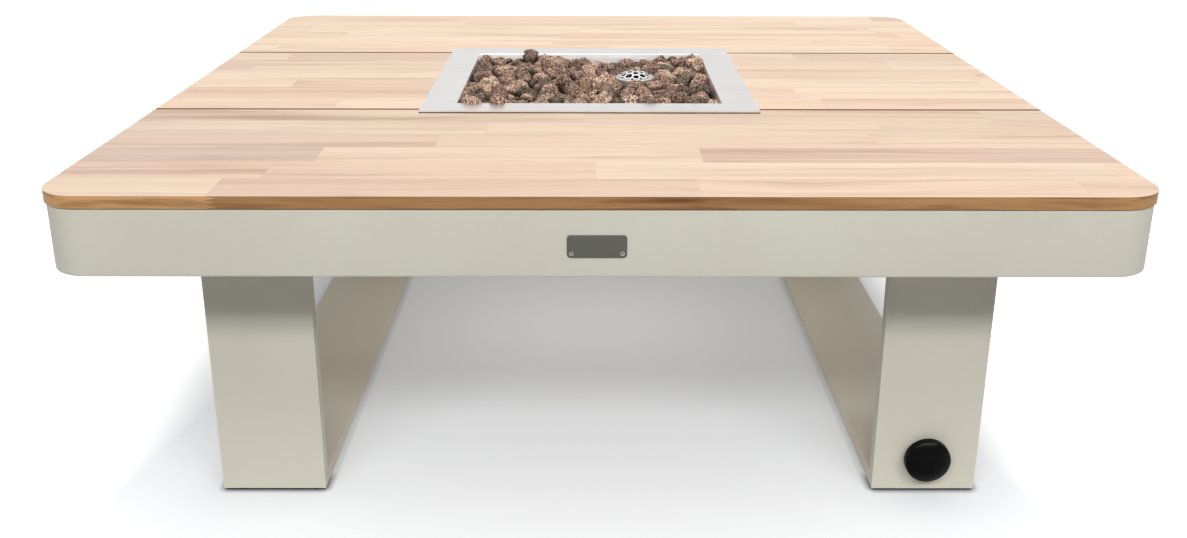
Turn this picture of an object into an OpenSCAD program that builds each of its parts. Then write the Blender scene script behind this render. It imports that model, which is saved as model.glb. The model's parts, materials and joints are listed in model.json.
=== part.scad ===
// Low square fire pit table: wooden top, painted apron, two loop legs, drop-in gas burner with lava rocks
// Millimetres, +Z up, origin on the floor under the middle of the top, front towards -Y

/* [Top] */
// Side of the square top
top_w = 1050; // [900:10:1200]
// Height of the top above the floor
table_h = 380; // [340:5:460]
// Thickness of the wooden panels
panel_t = 12.5; // [10:0.5:20]
// Plan radius of the top's corners
corner_r = 42; // [20:1:90]
// Width of the seams between the panels
seam_w = 2; // [1:0.5:4]

/* [Apron] */
// Overhang of the top past the apron
overhang = 2; // [1:0.5:12]
// Height of the apron band
apron_h = 67.5; // [55:0.5:100]
// Sheet thickness of the apron
apron_t = 2; // [1.5:0.5:3]
// Width of the folded-in ledge that carries the panels
ledge_w = 25; // [18:1:40]
// Width of the folded-in hem at the apron's lower edge
hem_w = 12; // [6:1:20]

/* [Plate] */
// Width of the bare plate on the apron
plate_w = 56; // [40:1:80]
// Height of the plate
plate_h = 22; // [16:1:30]
// Thickness of the plate
plate_t = 1; // [0.8:0.2:2]
// Corner radius of the plate
plate_r = 3; // [2:0.5:6]
// Sideways place of the plate's centre
plate_x = -4; // [-60:1:60]
// Drop of the plate's centre below the wood
plate_drop = 36.5; // [28:0.5:44]
// Diameter of the plate's rivets
rivet_d = 2.4; // [2:0.2:4]

/* [Frame] */
// Width of the cross rails
rail_w = 40; // [34:1:60]
// Height of the cross rails
rail_h = 25; // [20:1:35]
// Wall of the cross rails
rail_wall = 2; // [1.5:0.5:3]
// Bearing of the middle panels on the seam rails
rail_lap = 15; // [12:1:20]
// Set-back of the outer rails from the legs' front and rear faces
rail_inset = 5; // [0:1:20]

/* [Legs] */
// Width of each leg's ribbon
leg_w = 113; // [90:1:130]
// Thickness of the ribbon
leg_t = 15; // [12:0.5:25]
// Wall of the ribbon, a flat tube
leg_wall = 2; // [1.5:0.5:3]
// Distance of each leg's outside from the top's side edge
leg_side_inset = 109; // [95:1:145]
// Distance of the legs' front and rear faces from the top's edges
leg_end_inset = 123; // [95:1:155]
// Diameter of the drain holes in the runners
drain_d = 6; // [4:1:8]
// Height of the foot pads
pad_h = 2; // [1:0.5:6]
// Length of each foot pad
pad_l = 60; // [30:1:120]
// Set-back of the pads from the ribbon's edges
pad_inset = 6; // [3:1:15]
// Diameter of the leg bolts
bolt_d = 8; // [6:1:10]

/* [Burner] */
// Sideways place of the burner's centre
burner_x = -11; // [-40:1:40]
// Inside width of the square tray
tray_in = 318; // [280:1:350]
// Depth of the tray below its flange
tray_h = 60; // [52:1:80]
// Sheet thickness of the tray and the burner deck
tray_t = 1.2; // [1:0.1:2]
// Gap between the tray and the cut-out
tray_gap = 4.8; // [2:0.2:8]
// Breadth of the flange
flange_b = 41; // [36:1:60]
// Height of the flange above the wood
flange_lift = 3; // [2:0.5:6]
// Height of the burner deck above the tray's floor
deck_h = 30; // [22:1:36]
// Diameter of the gas ports in the deck
port_d = 4; // [2:0.5:6]
// Spacing of the gas ports
port_pitch = 40; // [25:1:60]
// Spacing of the lava rocks
rock_pitch = 34; // [28:1:45]
// Height of the tallest rock above the flange
rock_rise = 3; // [0:1:10]

/* [Ignition guard] */
// Distance of the guard from the burner's centre
guard_x = 60; // [40:1:90]
// Diameter of the guard
guard_d = 48; // [40:1:56]
// Sheet thickness of the guard
guard_t = 1; // [0.8:0.1:1.5]
// Height of the guard above the flange
guard_rise = 5; // [2:1:12]
// Diameter of the guard's holes
guard_hole_d = 3.4; // [2:0.2:4]
// Spacing of the guard's holes
guard_pitch = 6; // [5:0.5:8]
// Diameter of the electrode's insulator
insulator_d = 7; // [5:0.5:9]
// Diameter of the electrode's pin
pin_d = 2; // [1.5:0.5:3]
// Diameter of the thermocouple
probe_d = 5; // [4:0.5:7]

/* [Gas control] */
// Diameter of the knob
knob_d = 50; // [40:1:56]
// Depth of the knob
knob_h = 17; // [12:0.5:22]
// Height of the dome on the knob's face
dome_h = 8.5; // [1:0.5:9]
// Travel of the knob when it is pushed
push_travel = 3; // [2:0.5:5]
// Gap left behind the knob when it is pushed home
knob_gap = 0.8; // [0.5:0.1:2]
// Diameter of the valve's spindle
spindle_d = 8; // [6:0.5:9]
// Side of the square valve body
valve_w = 36; // [32:1:44]
// Length of the valve body
valve_l = 38; // [30:1:50]
// Gap between the valve and the runner under it
valve_gap = 7; // [2:0.5:12]
// Diameter of the valve's bonnet
bonnet_d = 22; // [20:1:26]
// Length of the bonnet
bonnet_l = 22; // [18:1:30]
// Diameter of the gas pipe
pipe_d = 8; // [6:0.5:10]
// Wall of the gas pipe
pipe_wall = 1; // [0.8:0.1:1.5]
// Bend radius of the gas pipe
pipe_bend = 30; // [20:1:40]
// Diameter of the mixer tube
mixer_d = 24; // [20:1:30]
// Wall of the mixer tube
mixer_wall = 1.5; // [1:0.1:2]
// Bend radius of the mixer
mixer_bend = 26; // [22:1:40]
// Length of the mixer's straight run
mixer_l = 70; // [60:1:90]
// Thread diameter of the hose nipple
nipple_d = 13.16; // [9:0.01:17]
// Length of the hose nipple's thread
nipple_l = 12; // [8:1:20]

/* [Hidden] */
$fn = 64;

// Clearances: a screw or pin in its own hole, a bolt in its hole, and parts that turn
slip = 0.05;
bolt_slip = 0.4;
seat_gap = 0.2;
// Cuts run past a face by this much
over = 1;

// Levels
wood_z = table_h - panel_t;
rail_top = wood_z - apron_t;
rail_bot = rail_top - rail_h;
leg_bot = pad_h;
leg_top = rail_bot;
apron_bot = wood_z - apron_h;
flange_top = table_h + flange_lift;
floor_top = flange_top - tray_h;
floor_bot = floor_top - tray_t;
deck_top = floor_top + deck_h;

// Plan sizes
top_half = top_w / 2;
apron_half = top_half - overhang;
apron_in = apron_half - apron_t;
ledge_half = apron_in - ledge_w;
apron_r = corner_r - overhang;
cut_half = tray_in / 2 + tray_t + tray_gap;
seam_y = cut_half + rail_lap;
flange_w = tray_in + 2 * flange_b;
leg_spread = top_w - 2 * leg_side_inset;
leg_span = top_w - 2 * leg_end_inset;
leg_x = leg_spread / 2 - leg_w / 2;
seam_rail_y = cut_half + rail_w / 2;
outer_rail_y = leg_span / 2 - rail_inset - rail_w / 2;
rail_ys = [-outer_rail_y, -seam_rail_y, seam_rail_y, outer_rail_y];
plate_z = wood_z - plate_drop;

// Panel screws: short ones through the apron's ledge, long ones up through the seam rails
screw_d = 4;
screw_bite = 8;
screw_head_d = 8;
screw_head_h = 2.5;
ledge_screw_y = apron_in - ledge_w / 2;
ledge_spots = [-0.75, -0.25, 0.25, 0.75] * ledge_half;
side_spots = [-0.6, 0.6] * seam_y;
rail_spot_out = leg_spread / 2 - leg_w - 2 * screw_head_d;
rail_spot_in = (rail_spot_out + cut_half + abs(burner_x)) / 2;
rail_spots = [-rail_spot_out, -rail_spot_in, rail_spot_in, rail_spot_out];

// Leg bolts
washer_t = 1.6;
bolt_head_h = 5.3;
nut_h = 6.5;
bolt_spots = [for (side = [-1, 1], y = rail_ys) [side * leg_x, y]];
bolt_seat = leg_top - leg_t;

// Burner and mixer
neck_up = 8;
collar_h = 3;
collar_lip = 5;
mixer_nut_h = 5;
mixer_turn_z = floor_bot - collar_h - 2;
gas_z = mixer_turn_z - mixer_bend;
mixer_end = burner_x + mixer_bend + mixer_l;
end_wall = 3;
injector_d = 10;
injector_in = 15;
injector_head_h = 8;
injector_af = 17;
pipe_nut_af = 14;
pipe_nut_h = 10;
guard_c = [burner_x + guard_x, 0];
guard_foot = 5;
pilot_t = 1.5;
pilot_spread = 8;
pilot_h = 24;
pin_h = 6;

// Gas control, along the spindle from the post's front face to the hose
post_y = -leg_span / 2;
post_back = post_y + leg_t;
bracket_t = 2;
bracket_w = 66;
bracket_hole_x = 26;
bonnet_y = post_back + bracket_t;
bonnet_wall = 2;
bonnet_bore = bonnet_d - 2 * 3;
valve_y = bonnet_y + bonnet_l;
valve_end = valve_y + valve_l;
knob_z = leg_bot + leg_t + valve_gap + valve_w / 2;
knob_back = post_y - push_travel - knob_gap;
knob_bore = knob_h - dome_h;
shoulder_t = 2;
shoulder_d = spindle_d + 4;
collar_t = 2;
shoulder_y = bonnet_y + bonnet_wall + seat_gap;
collar_y = shoulder_y + shoulder_t;
spring_y = collar_y + collar_t;
spindle_in = 8;
spindle_room = 3;
spindle_hole = spindle_d + 4;
m5_d = 5;
m5_head_d = 9;
m5_head_h = 3;
nipple_af = 17;
nipple_head = 6;
nipple_bore = 6;
outlet_y = valve_y + valve_l / 2;
clip_t = 1.5;
clip_w = 12;
clip_foot = 16;
clip_lip = 5;
clip_ys = [-seam_rail_y - rail_w, -seam_rail_y / 2];

// A rounded square seen from above, with true arcs
module round_rect(w, d, r) {
    square([w - 2 * r, d], center = true);
    square([w, d - 2 * r], center = true);
    for (x = [-1, 1], y = [-1, 1])
        translate([x * (w / 2 - r), y * (d / 2 - r)]) circle(r);
}

// A hexagon prism by its width over the flats
module hex(af, h) {
    cylinder(d = af / cos(30), h = h, $fn = 6);
}

// A tube along Z
module tube(d_out, d_in, h) {
    difference() {
        cylinder(d = d_out, h = h);
        translate([0, 0, -over]) cylinder(d = d_in, h = h + 2 * over);
    }
}

// Stands a shape that was drawn along Z on the spindle's line, running back from y
module on_spindle(y) {
    translate([leg_x, y, knob_z]) rotate([-90, 0, 0]) children();
}

// The places of the panel screws, one child at each
module at_ledge_screws() {
    for (s = [-1, 1], x = ledge_spots) translate([x, s * ledge_screw_y, 0]) children();
    for (s = [-1, 1], y = side_spots) translate([s * ledge_screw_y, y, 0]) children();
}

module at_rail_screws() {
    for (s = [-1, 1], x = rail_spots) {
        translate([x, s * (seam_y - rail_lap / 2), 0]) children();
        translate([x, s * (cut_half + rail_w - screw_head_d), 0]) children();
    }
}

// The top plate in one piece, with every screw's pilot hole
module whole_top() {
    difference() {
        translate([0, 0, wood_z]) linear_extrude(panel_t) round_rect(top_w, top_w, corner_r);
        translate([0, 0, wood_z - over]) {
            at_ledge_screws() cylinder(d = screw_d + 2 * slip, h = screw_bite + over);
            at_rail_screws() cylinder(d = screw_d + 2 * slip, h = screw_bite + over);
        }
    }
}

module end_panel(side) {
    depth = top_half - seam_y - seam_w / 2;
    color("burlywood") intersection() {
        whole_top();
        translate([-top_half, side > 0 ? top_half - depth : -top_half, wood_z])
            cube([top_w, depth, panel_t]);
    }
}

module front_panel() { end_panel(-1); }

module rear_panel() { end_panel(1); }

module side_panel(x0, x1) {
    depth = 2 * seam_y - seam_w;
    color("tan") intersection() {
        whole_top();
        translate([x0, -depth / 2, wood_z]) cube([x1 - x0, depth, panel_t]);
    }
}

module left_panel() { side_panel(-top_half, burner_x - cut_half); }

module right_panel() { side_panel(burner_x + cut_half, top_half); }

// A pan-head screw pointing up, its head's seat at z = 0
module screw(len) {
    cylinder(d = screw_d, h = len);
    translate([0, 0, -screw_head_h]) cylinder(d = screw_head_d, h = screw_head_h);
}

module panel_screws() {
    color("silver") translate([0, 0, rail_top]) at_ledge_screws() screw(apron_t + screw_bite - over);
}

module rail_screws() {
    color("silver") translate([0, 0, rail_bot]) at_rail_screws() screw(rail_h + apron_t + screw_bite - over);
}

module apron() {
    color([0.77, 0.76, 0.71]) difference() {
        translate([0, 0, apron_bot]) linear_extrude(apron_h)
            round_rect(2 * apron_half, 2 * apron_half, apron_r);
        translate([0, 0, apron_bot + apron_t]) linear_extrude(apron_h - 2 * apron_t)
            round_rect(2 * apron_in, 2 * apron_in, apron_r - apron_t);
        translate([-ledge_half, -ledge_half, wood_z - apron_h / 2])
            cube([2 * ledge_half, 2 * ledge_half, apron_h / 2 + over]);
        translate([hem_w - apron_in, hem_w - apron_in, apron_bot - over])
            cube([2 * (apron_in - hem_w), 2 * (apron_in - hem_w), apron_h / 2]);
        translate([0, 0, rail_top - over]) at_ledge_screws()
            cylinder(d = screw_d + 2 * slip, h = apron_t + 2 * over);
        at_rivets(-over) cylinder(d = rivet_d + 2 * slip, h = apron_t + 2 * over);
    }
}

// Places on the plate's rivet lines, with z running from the apron's face inwards
module at_rivets(depth) {
    for (s = [-1, 1])
        translate([plate_x + s * (plate_w / 2 - plate_r - rivet_d / 2), depth - apron_half,
                   plate_z - plate_h / 2 + plate_r + rivet_d / 2]) rotate([-90, 0, 0]) children();
}

module nameplate() {
    color("gray") difference() {
        translate([plate_x, -apron_half, plate_z]) rotate([90, 0, 0]) linear_extrude(plate_t)
            round_rect(plate_w, plate_h, plate_r);
        at_rivets(-plate_t - over) cylinder(d = rivet_d + 2 * slip, h = plate_t + 2 * over);
    }
}

module plate_rivets() {
    color("silver") at_rivets(-plate_t) {
        cylinder(d = rivet_d, h = plate_t + apron_t + over);
        translate([0, 0, -rivet_d / 3]) cylinder(d = 1.8 * rivet_d, h = rivet_d / 3);
    }
}

// A square tube across the table, holed for its bolts and screws
module cross_rail(y) {
    color("dimgray") difference() {
        translate([-apron_in, y - rail_w / 2, rail_bot]) cube([2 * apron_in, rail_w, rail_h]);
        translate([-apron_in - over, y - rail_w / 2 + rail_wall, rail_bot + rail_wall])
            cube([2 * (apron_in + over), rail_w - 2 * rail_wall, rail_h - 2 * rail_wall]);
        for (side = [-1, 1]) translate([side * leg_x, y, rail_bot - over])
            cylinder(d = bolt_d + 2 * bolt_slip, h = rail_wall + 2 * over);
        translate([0, 0, rail_bot - over]) at_rail_screws()
            cylinder(d = screw_d + 2 * slip, h = rail_h + 2 * over);
    }
}

module front_rail() { cross_rail(rail_ys[0]); }

module front_seam_rail() { cross_rail(rail_ys[1]); }

module rear_seam_rail() { cross_rail(rail_ys[2]); }

module rear_rail() { cross_rail(rail_ys[3]); }

// Soft strips that fill the ledge's thickness between the rails and the panels
module support_strips() {
    color("black") difference() {
        for (y = rail_ys) translate([over - ledge_half, y - rail_w / 2, rail_top])
            cube([2 * (ledge_half - over), rail_w, apron_t]);
        translate([0, 0, rail_top - over]) at_rail_screws()
            cylinder(d = screw_d + 2 * slip, h = apron_t + 2 * over);
    }
}

// A closed loop of flat tube, drawn as its outline in Y and Z and set in from every face by a wall
module loop(inset) {
    translate([inset - leg_w / 2, 0, 0]) rotate([90, 0, 90]) linear_extrude(leg_w - 2 * inset) difference() {
        translate([inset - leg_span / 2, leg_bot + inset])
            square([leg_span - 2 * inset, leg_top - leg_bot - 2 * inset]);
        translate([leg_t - inset - leg_span / 2, leg_bot + leg_t - inset])
            square([leg_span - 2 * (leg_t - inset), leg_top - leg_bot - 2 * (leg_t - inset)]);
    }
}

module leg(side) {
    color([0.77, 0.76, 0.71]) translate([side * leg_x, 0, 0]) difference() {
        loop(0);
        loop(leg_wall);
        for (y = rail_ys) translate([0, y, bolt_seat - over])
            cylinder(d = bolt_d + 2 * bolt_slip, h = leg_t + 2 * over);
        for (s = [-1, 1]) translate([0, s * leg_span / 4, leg_bot - over])
            cylinder(d = drain_d, h = leg_wall + 2 * over);
    }
}

module left_leg() { leg(-1); }

module right_leg() {
    color([0.77, 0.76, 0.71]) difference() {
        leg(1);
        on_spindle(post_y - over) cylinder(d = spindle_hole, h = leg_t + 2 * over);
        at_bracket_screws(post_back - leg_wall - over) cylinder(d = m5_d + 2 * slip, h = leg_wall + 2 * over);
    }
}

module leg_bolts() {
    shank = leg_t + rail_wall + nut_h + over;
    color("silver") for (p = bolt_spots) translate([p.x, p.y, bolt_seat - washer_t]) {
        cylinder(d = bolt_d, h = shank + washer_t);
        translate([0, 0, -bolt_head_h]) hex(bolt_d * 1.625, bolt_head_h);
    }
}

module leg_washers() {
    color("silver") for (p = bolt_spots) translate([p.x, p.y, bolt_seat - washer_t])
        tube(2 * bolt_d, bolt_d + 2 * bolt_slip, washer_t);
}

module weld_nuts() {
    color("silver") for (p = bolt_spots) translate([p.x, p.y, rail_bot + rail_wall]) difference() {
        hex(bolt_d * 1.625, nut_h);
        translate([0, 0, -over]) cylinder(d = bolt_d + 2 * slip, h = nut_h + 2 * over);
    }
}

module foot_pads() {
    pad_w = leg_w - 2 * pad_inset;
    color("black") for (side = [-1, 1], end = [-1, 1])
        translate([side * leg_x - pad_w / 2, end * (leg_span / 2 - pad_inset - pad_l / 2) - pad_l / 2, 0])
            cube([pad_w, pad_l, pad_h]);
}

// A square block about the burner's centre
module burner_block(w, z0, z1) {
    translate([burner_x - w / 2, -w / 2, z0]) cube([w, w, z1 - z0]);
}

module burner_tray() {
    color("lightgray") difference() {
        union() {
            burner_block(flange_w, table_h, flange_top);
            burner_block(tray_in + 2 * tray_t, floor_bot, flange_top);
        }
        difference() {
            burner_block(flange_w - 2 * tray_t, table_h - over, flange_top - tray_t);
            burner_block(tray_in + 2 * tray_t, floor_bot, flange_top);
        }
        burner_block(tray_in, floor_top, flange_top + over);
        translate([burner_x, 0, floor_bot - over]) cylinder(d = mixer_d + 2 * slip, h = tray_t + 2 * over);
    }
}

// Perforated false floor with turned-down sides, over the space that the gas fills
module burner_deck() {
    deck_w = tray_in - 2 * seat_gap;
    ports = floor((deck_w / 2 - port_pitch / 2) / port_pitch);
    color("gray") difference() {
        burner_block(deck_w, floor_top, deck_top);
        burner_block(deck_w - 2 * tray_t, floor_top - over, deck_top - tray_t);
        for (i = [-ports:ports], j = [-ports:ports])
            translate([burner_x + i * port_pitch, j * port_pitch, deck_top - tray_t - over])
                cylinder(d = port_d, h = tray_t + 2 * over);
        at_guard_screws(deck_top - tray_t - over) cylinder(d = screw_d + 2 * slip, h = tray_t + 2 * over);
    }
}

// Lava rocks: twelve-cornered lumps with uneven corners, one to a cell, each flat where it lies on the deck
golden = (1 + sqrt(5)) / 2;
corners = [for (s = [-1, 1], u = [-1, 1]) each [[0, s, u * golden], [s, u * golden, 0], [u * golden, 0, s]]];
function near(i, j) = norm(corners[i] - corners[j]) < golden + 1;
function wound(i, j, k) = cross(corners[i], corners[j]) * corners[k] > 0 ? [i, k, j] : [i, j, k];
sides = [
    for (i = [0:9], j = [i + 1:10], k = [j + 1:11])
        if (j > i && k > j && near(i, j) && near(j, k) && near(i, k)) wound(i, j, k)
];
rock_bed = tray_in - 4 * seat_gap;
rock_n = floor(rock_bed / rock_pitch);
rock_cell = rock_bed / rock_n;
rock_max_h = flange_top + rock_rise - deck_top;
guard_keep = guard_d / 2 + guard_foot + rock_cell / 2;

function turned(p, a) = [p.x * cos(a) - p.y * sin(a), p.x * sin(a) + p.y * cos(a), p.z];

function rock_points(c, seed) =
    let (r = rands(0, 1, 16, seed),
         reach = rock_cell / 2 - seat_gap,
         high = rock_max_h * (0.8 + 0.2 * r[12]),
         mid = 0.42 * high)
    [for (i = [0:11])
        let (p = turned(corners[i] / golden, 360 * r[13]) * (0.84 + 0.16 * r[i]))
        [c.x + p.x * reach * golden / norm(corners[i]), c.y + p.y * reach * golden / norm(corners[i]),
         max(deck_top, deck_top + mid + p.z * (high - mid))]];

module lava_rocks() {
    color("saddlebrown") for (i = [0:rock_n - 1], j = [0:rock_n - 1]) {
        c = [burner_x + (i + 0.5) * rock_cell - rock_bed / 2, (j + 0.5) * rock_cell - rock_bed / 2];
        if (norm(c - guard_c) > guard_keep) polyhedron(rock_points(c, 100 * i + j + 1), sides);
    }
}

module at_guard_screws(z) {
    for (s = [-1, 1]) translate([guard_c.x, s * (guard_d / 2 + guard_foot), z]) children();
}

// Perforated cap that keeps the rocks off the electrode and the thermocouple
module ignition_guard() {
    rings = floor((guard_d / 2 - guard_pitch) / guard_pitch);
    high = flange_top + guard_rise - deck_top;
    rows = floor((high - 2 * guard_pitch) / (2 * guard_pitch));
    color("white") difference() {
        union() {
            translate([guard_c.x, guard_c.y, deck_top]) cylinder(d = guard_d, h = high);
            translate([guard_c.x, guard_c.y, deck_top]) cylinder(d = guard_d + 2 * guard_foot, h = guard_t);
            at_guard_screws(deck_top) cylinder(d = screw_head_d, h = guard_t);
        }
        translate([guard_c.x, guard_c.y, deck_top - over])
            cylinder(d = guard_d - 2 * guard_t, h = high - guard_t + over);
        translate([guard_c.x, guard_c.y, deck_top + high - guard_t - over]) {
            cylinder(d = guard_hole_d, h = guard_t + 2 * over);
            for (k = [1:rings], i = [0:6 * k - 1]) rotate(i * 60 / k) translate([k * guard_pitch, 0, 0])
                cylinder(d = guard_hole_d, h = guard_t + 2 * over);
        }
        for (k = [1:rows], i = [0:5]) translate([guard_c.x, guard_c.y, deck_top + k * 2 * guard_pitch])
            rotate([90, 0, i * 30 + 15]) cylinder(d = guard_hole_d, h = guard_d + 2 * over, center = true);
        at_guard_screws(deck_top - over) cylinder(d = screw_d + 2 * slip, h = guard_t + 2 * over);
    }
}

module guard_screws() {
    color("silver") at_guard_screws(deck_top + guard_t) mirror([0, 0, 1]) screw(guard_t + tray_t + over);
}

module pilot_bracket() {
    color("silver") difference() {
        translate([guard_c.x, guard_c.y, deck_top])
            cylinder(d = guard_d - 2 * (guard_t + seat_gap), h = pilot_t);
        for (s = [-1, 1]) translate([guard_c.x + s * pilot_spread, guard_c.y, deck_top - over])
            cylinder(d = (s > 0 ? probe_d : insulator_d) + 2 * slip, h = pilot_t + 2 * over);
    }
}

module electrode_insulator() {
    color("white") translate([guard_c.x - pilot_spread, guard_c.y, deck_top]) difference() {
        cylinder(d = insulator_d, h = pilot_h);
        translate([0, 0, pilot_h / 2]) cylinder(d = pin_d + 2 * slip, h = pilot_h);
    }
}

module electrode_pin() {
    color("silver") translate([guard_c.x - pilot_spread, guard_c.y, deck_top + pilot_h / 2])
        cylinder(d = pin_d, h = pilot_h / 2 + pin_h);
}

module thermocouple() {
    color("peru") translate([guard_c.x + pilot_spread, guard_c.y, deck_top])
        cylinder(d = probe_d, h = pilot_h);
}

// The outside, or the bore, of a pipe elbow that starts straight up at the origin and leaves along +X
module quarter_bend(d, r) {
    translate([r, 0, 0]) rotate([90, 0, 180]) rotate_extrude(angle = 90) translate([r, 0]) circle(d = d);
}

module mixer_core(d, ends) {
    translate([burner_x, 0, mixer_turn_z]) cylinder(d = d, h = floor_top + neck_up - mixer_turn_z + ends);
    translate([burner_x, 0, mixer_turn_z]) mirror([0, 0, 1]) quarter_bend(d, mixer_bend);
    translate([burner_x + mixer_bend, 0, gas_z]) rotate([0, 90, 0]) cylinder(d = d, h = mixer_l);
}

// Elbow under the tray that draws air in through side holes and mixes it with the gas
module mixer_elbow() {
    color("silver") difference() {
        union() {
            mixer_core(mixer_d, 0);
            translate([burner_x, 0, floor_bot - collar_h])
                cylinder(d = mixer_d + 2 * collar_lip, h = collar_h);
            translate([mixer_end, 0, gas_z]) rotate([0, 90, 0]) cylinder(d = mixer_d, h = end_wall);
        }
        mixer_core(mixer_d - 2 * mixer_wall, over);
        for (a = [0, 90]) translate([mixer_end - 1.5 * injector_in, 0, gas_z]) rotate([a, 0, 0])
            cylinder(d = mixer_d / 3, h = mixer_d + 2 * over, center = true);
        translate([mixer_end - over, 0, gas_z]) rotate([0, 90, 0])
            cylinder(d = injector_d + 2 * slip, h = end_wall + 2 * over);
    }
}

module mixer_nut() {
    color("silver") translate([burner_x, 0, floor_top]) difference() {
        hex(mixer_d * 1.5, mixer_nut_h);
        translate([0, 0, -over]) cylinder(d = mixer_d + 2 * slip, h = mixer_nut_h + 2 * over);
    }
}

injector_back = mixer_end + end_wall;
pipe_start = injector_back + injector_head_h;

module gas_injector() {
    color("gold") difference() {
        union() {
            translate([injector_back - end_wall - injector_in, 0, gas_z]) rotate([0, 90, 0])
                cylinder(d = injector_d, h = end_wall + injector_in);
            translate([injector_back, 0, gas_z]) rotate([0, 90, 0]) hex(injector_af, injector_head_h);
        }
        translate([injector_back - end_wall - injector_in - over, 0, gas_z]) rotate([0, 90, 0])
            cylinder(d = port_d, h = end_wall + injector_in + injector_head_h + 2 * over);
    }
}

valve_top = knob_z + valve_w / 2;

// Straight up from the valve, back under the leg's top rail, then across to the injector
module pipe_core(d) {
    translate([leg_x, outlet_y, valve_top]) cylinder(d = d, h = gas_z - pipe_bend - valve_top);
    translate([leg_x, outlet_y, gas_z - pipe_bend]) rotate(90) quarter_bend(d, pipe_bend);
    translate([leg_x, outlet_y + pipe_bend, gas_z]) rotate([-90, 0, 0])
        cylinder(d = d, h = -outlet_y - 2 * pipe_bend);
    translate([leg_x, -pipe_bend, gas_z]) rotate([-90, 0, 0]) rotate(180) quarter_bend(d, pipe_bend);
    translate([pipe_start, 0, gas_z]) rotate([0, 90, 0]) cylinder(d = d, h = leg_x - pipe_bend - pipe_start);
}

module gas_pipe() {
    color("lightsteelblue") difference() {
        pipe_core(pipe_d);
        pipe_core(pipe_d - 2 * pipe_wall);
    }
}

module pipe_nuts() {
    color("gold") difference() {
        union() {
            translate([leg_x, outlet_y, valve_top]) hex(pipe_nut_af, pipe_nut_h);
            translate([pipe_start, 0, gas_z]) rotate([0, 90, 0]) hex(pipe_nut_af, pipe_nut_h);
        }
        pipe_core(pipe_d + 2 * slip);
    }
}

// Strap hooks that hang from the leg's top rail and carry the pipe
module pipe_clips() {
    inner = pipe_d / 2 + seat_gap;
    drop = bolt_seat - gas_z;
    color("silver") for (y = clip_ys) translate([leg_x, y + clip_w / 2, gas_z]) rotate([90, 0, 0])
        linear_extrude(clip_w) {
            translate([-inner - clip_t, -inner - clip_t]) square([clip_t, drop + inner + clip_t]);
            translate([-inner - clip_t, -inner - clip_t]) square([2 * (inner + clip_t), clip_t]);
            translate([inner, -inner - clip_t]) square([clip_t, inner + clip_lip]);
            translate([-inner - clip_foot, drop - clip_t]) square([clip_foot, clip_t]);
        }
}

module at_bracket_screws(y) {
    for (s = [-1, 1]) translate([leg_x + s * bracket_hole_x, y, knob_z]) rotate([-90, 0, 0]) children();
}

module valve_bracket() {
    color("silver") difference() {
        translate([leg_x - bracket_w / 2, post_back, knob_z - valve_w / 2])
            cube([bracket_w, bracket_t, valve_w]);
        on_spindle(post_back - over) cylinder(d = spindle_hole, h = bracket_t + 2 * over);
        at_bracket_screws(post_back - over) cylinder(d = m5_d + 2 * slip, h = bracket_t + 2 * over);
    }
}

module bracket_screws() {
    color("silver") at_bracket_screws(post_back + bracket_t) {
        translate([0, 0, -bracket_t - leg_wall - over]) cylinder(d = m5_d, h = bracket_t + leg_wall + over);
        cylinder(d = m5_head_d, h = m5_head_h);
    }
}

module valve_body() {
    color("goldenrod") difference() {
        translate([leg_x - valve_w / 2, valve_y, knob_z - valve_w / 2]) cube([valve_w, valve_l, valve_w]);
        on_spindle(valve_y - over)
            cylinder(d = spindle_d + 2 * slip, h = spindle_in + push_travel + spindle_room + over);
    }
}

module valve_bonnet() {
    color("goldenrod") on_spindle(bonnet_y) difference() {
        cylinder(d = bonnet_d, h = bonnet_l);
        translate([0, 0, bonnet_wall]) cylinder(d = bonnet_bore, h = bonnet_l);
        translate([0, 0, -over]) cylinder(d = spindle_d + 2 * slip, h = bonnet_l);
    }
}

module valve_spindle() {
    tip = knob_back - knob_bore;
    color("silver") {
        on_spindle(tip) cylinder(d = spindle_d, h = valve_y + spindle_in - tip);
        on_spindle(shoulder_y) cylinder(d = shoulder_d, h = shoulder_t);
    }
}

module spring_collar() {
    color("silver") on_spindle(collar_y) tube(bonnet_bore - 4 * seat_gap, spindle_d + 2 * slip, collar_t);
}

// The spring's outer shape, between the collar and the valve body
module return_spring() {
    color("silver") on_spindle(spring_y)
        tube(bonnet_bore - 4 * seat_gap, spindle_d + 4 * seat_gap, valve_y - spring_y);
}

module inlet_nipple() {
    color("gold") on_spindle(valve_end) difference() {
        union() {
            hex(nipple_af, nipple_head);
            cylinder(d = nipple_d, h = nipple_head + nipple_l);
        }
        translate([0, 0, -over]) cylinder(d = nipple_bore, h = nipple_head + nipple_l + 2 * over);
    }
}

// Round knob with a dome, pushed on to the spindle
module control_knob() {
    ball_r = (pow(knob_d / 2, 2) + pow(dome_h, 2)) / (2 * dome_h);
    color([0.05, 0.05, 0.05]) on_spindle(knob_back) mirror([0, 0, 1]) difference() {
        rotate_extrude() intersection() {
            square([knob_d / 2, knob_h]);
            translate([0, knob_h - ball_r]) circle(ball_r, $fn = 720);
        }
        translate([0, 0, -over]) cylinder(d = spindle_d + 2 * slip, h = knob_bore + over);
    }
}

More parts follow.
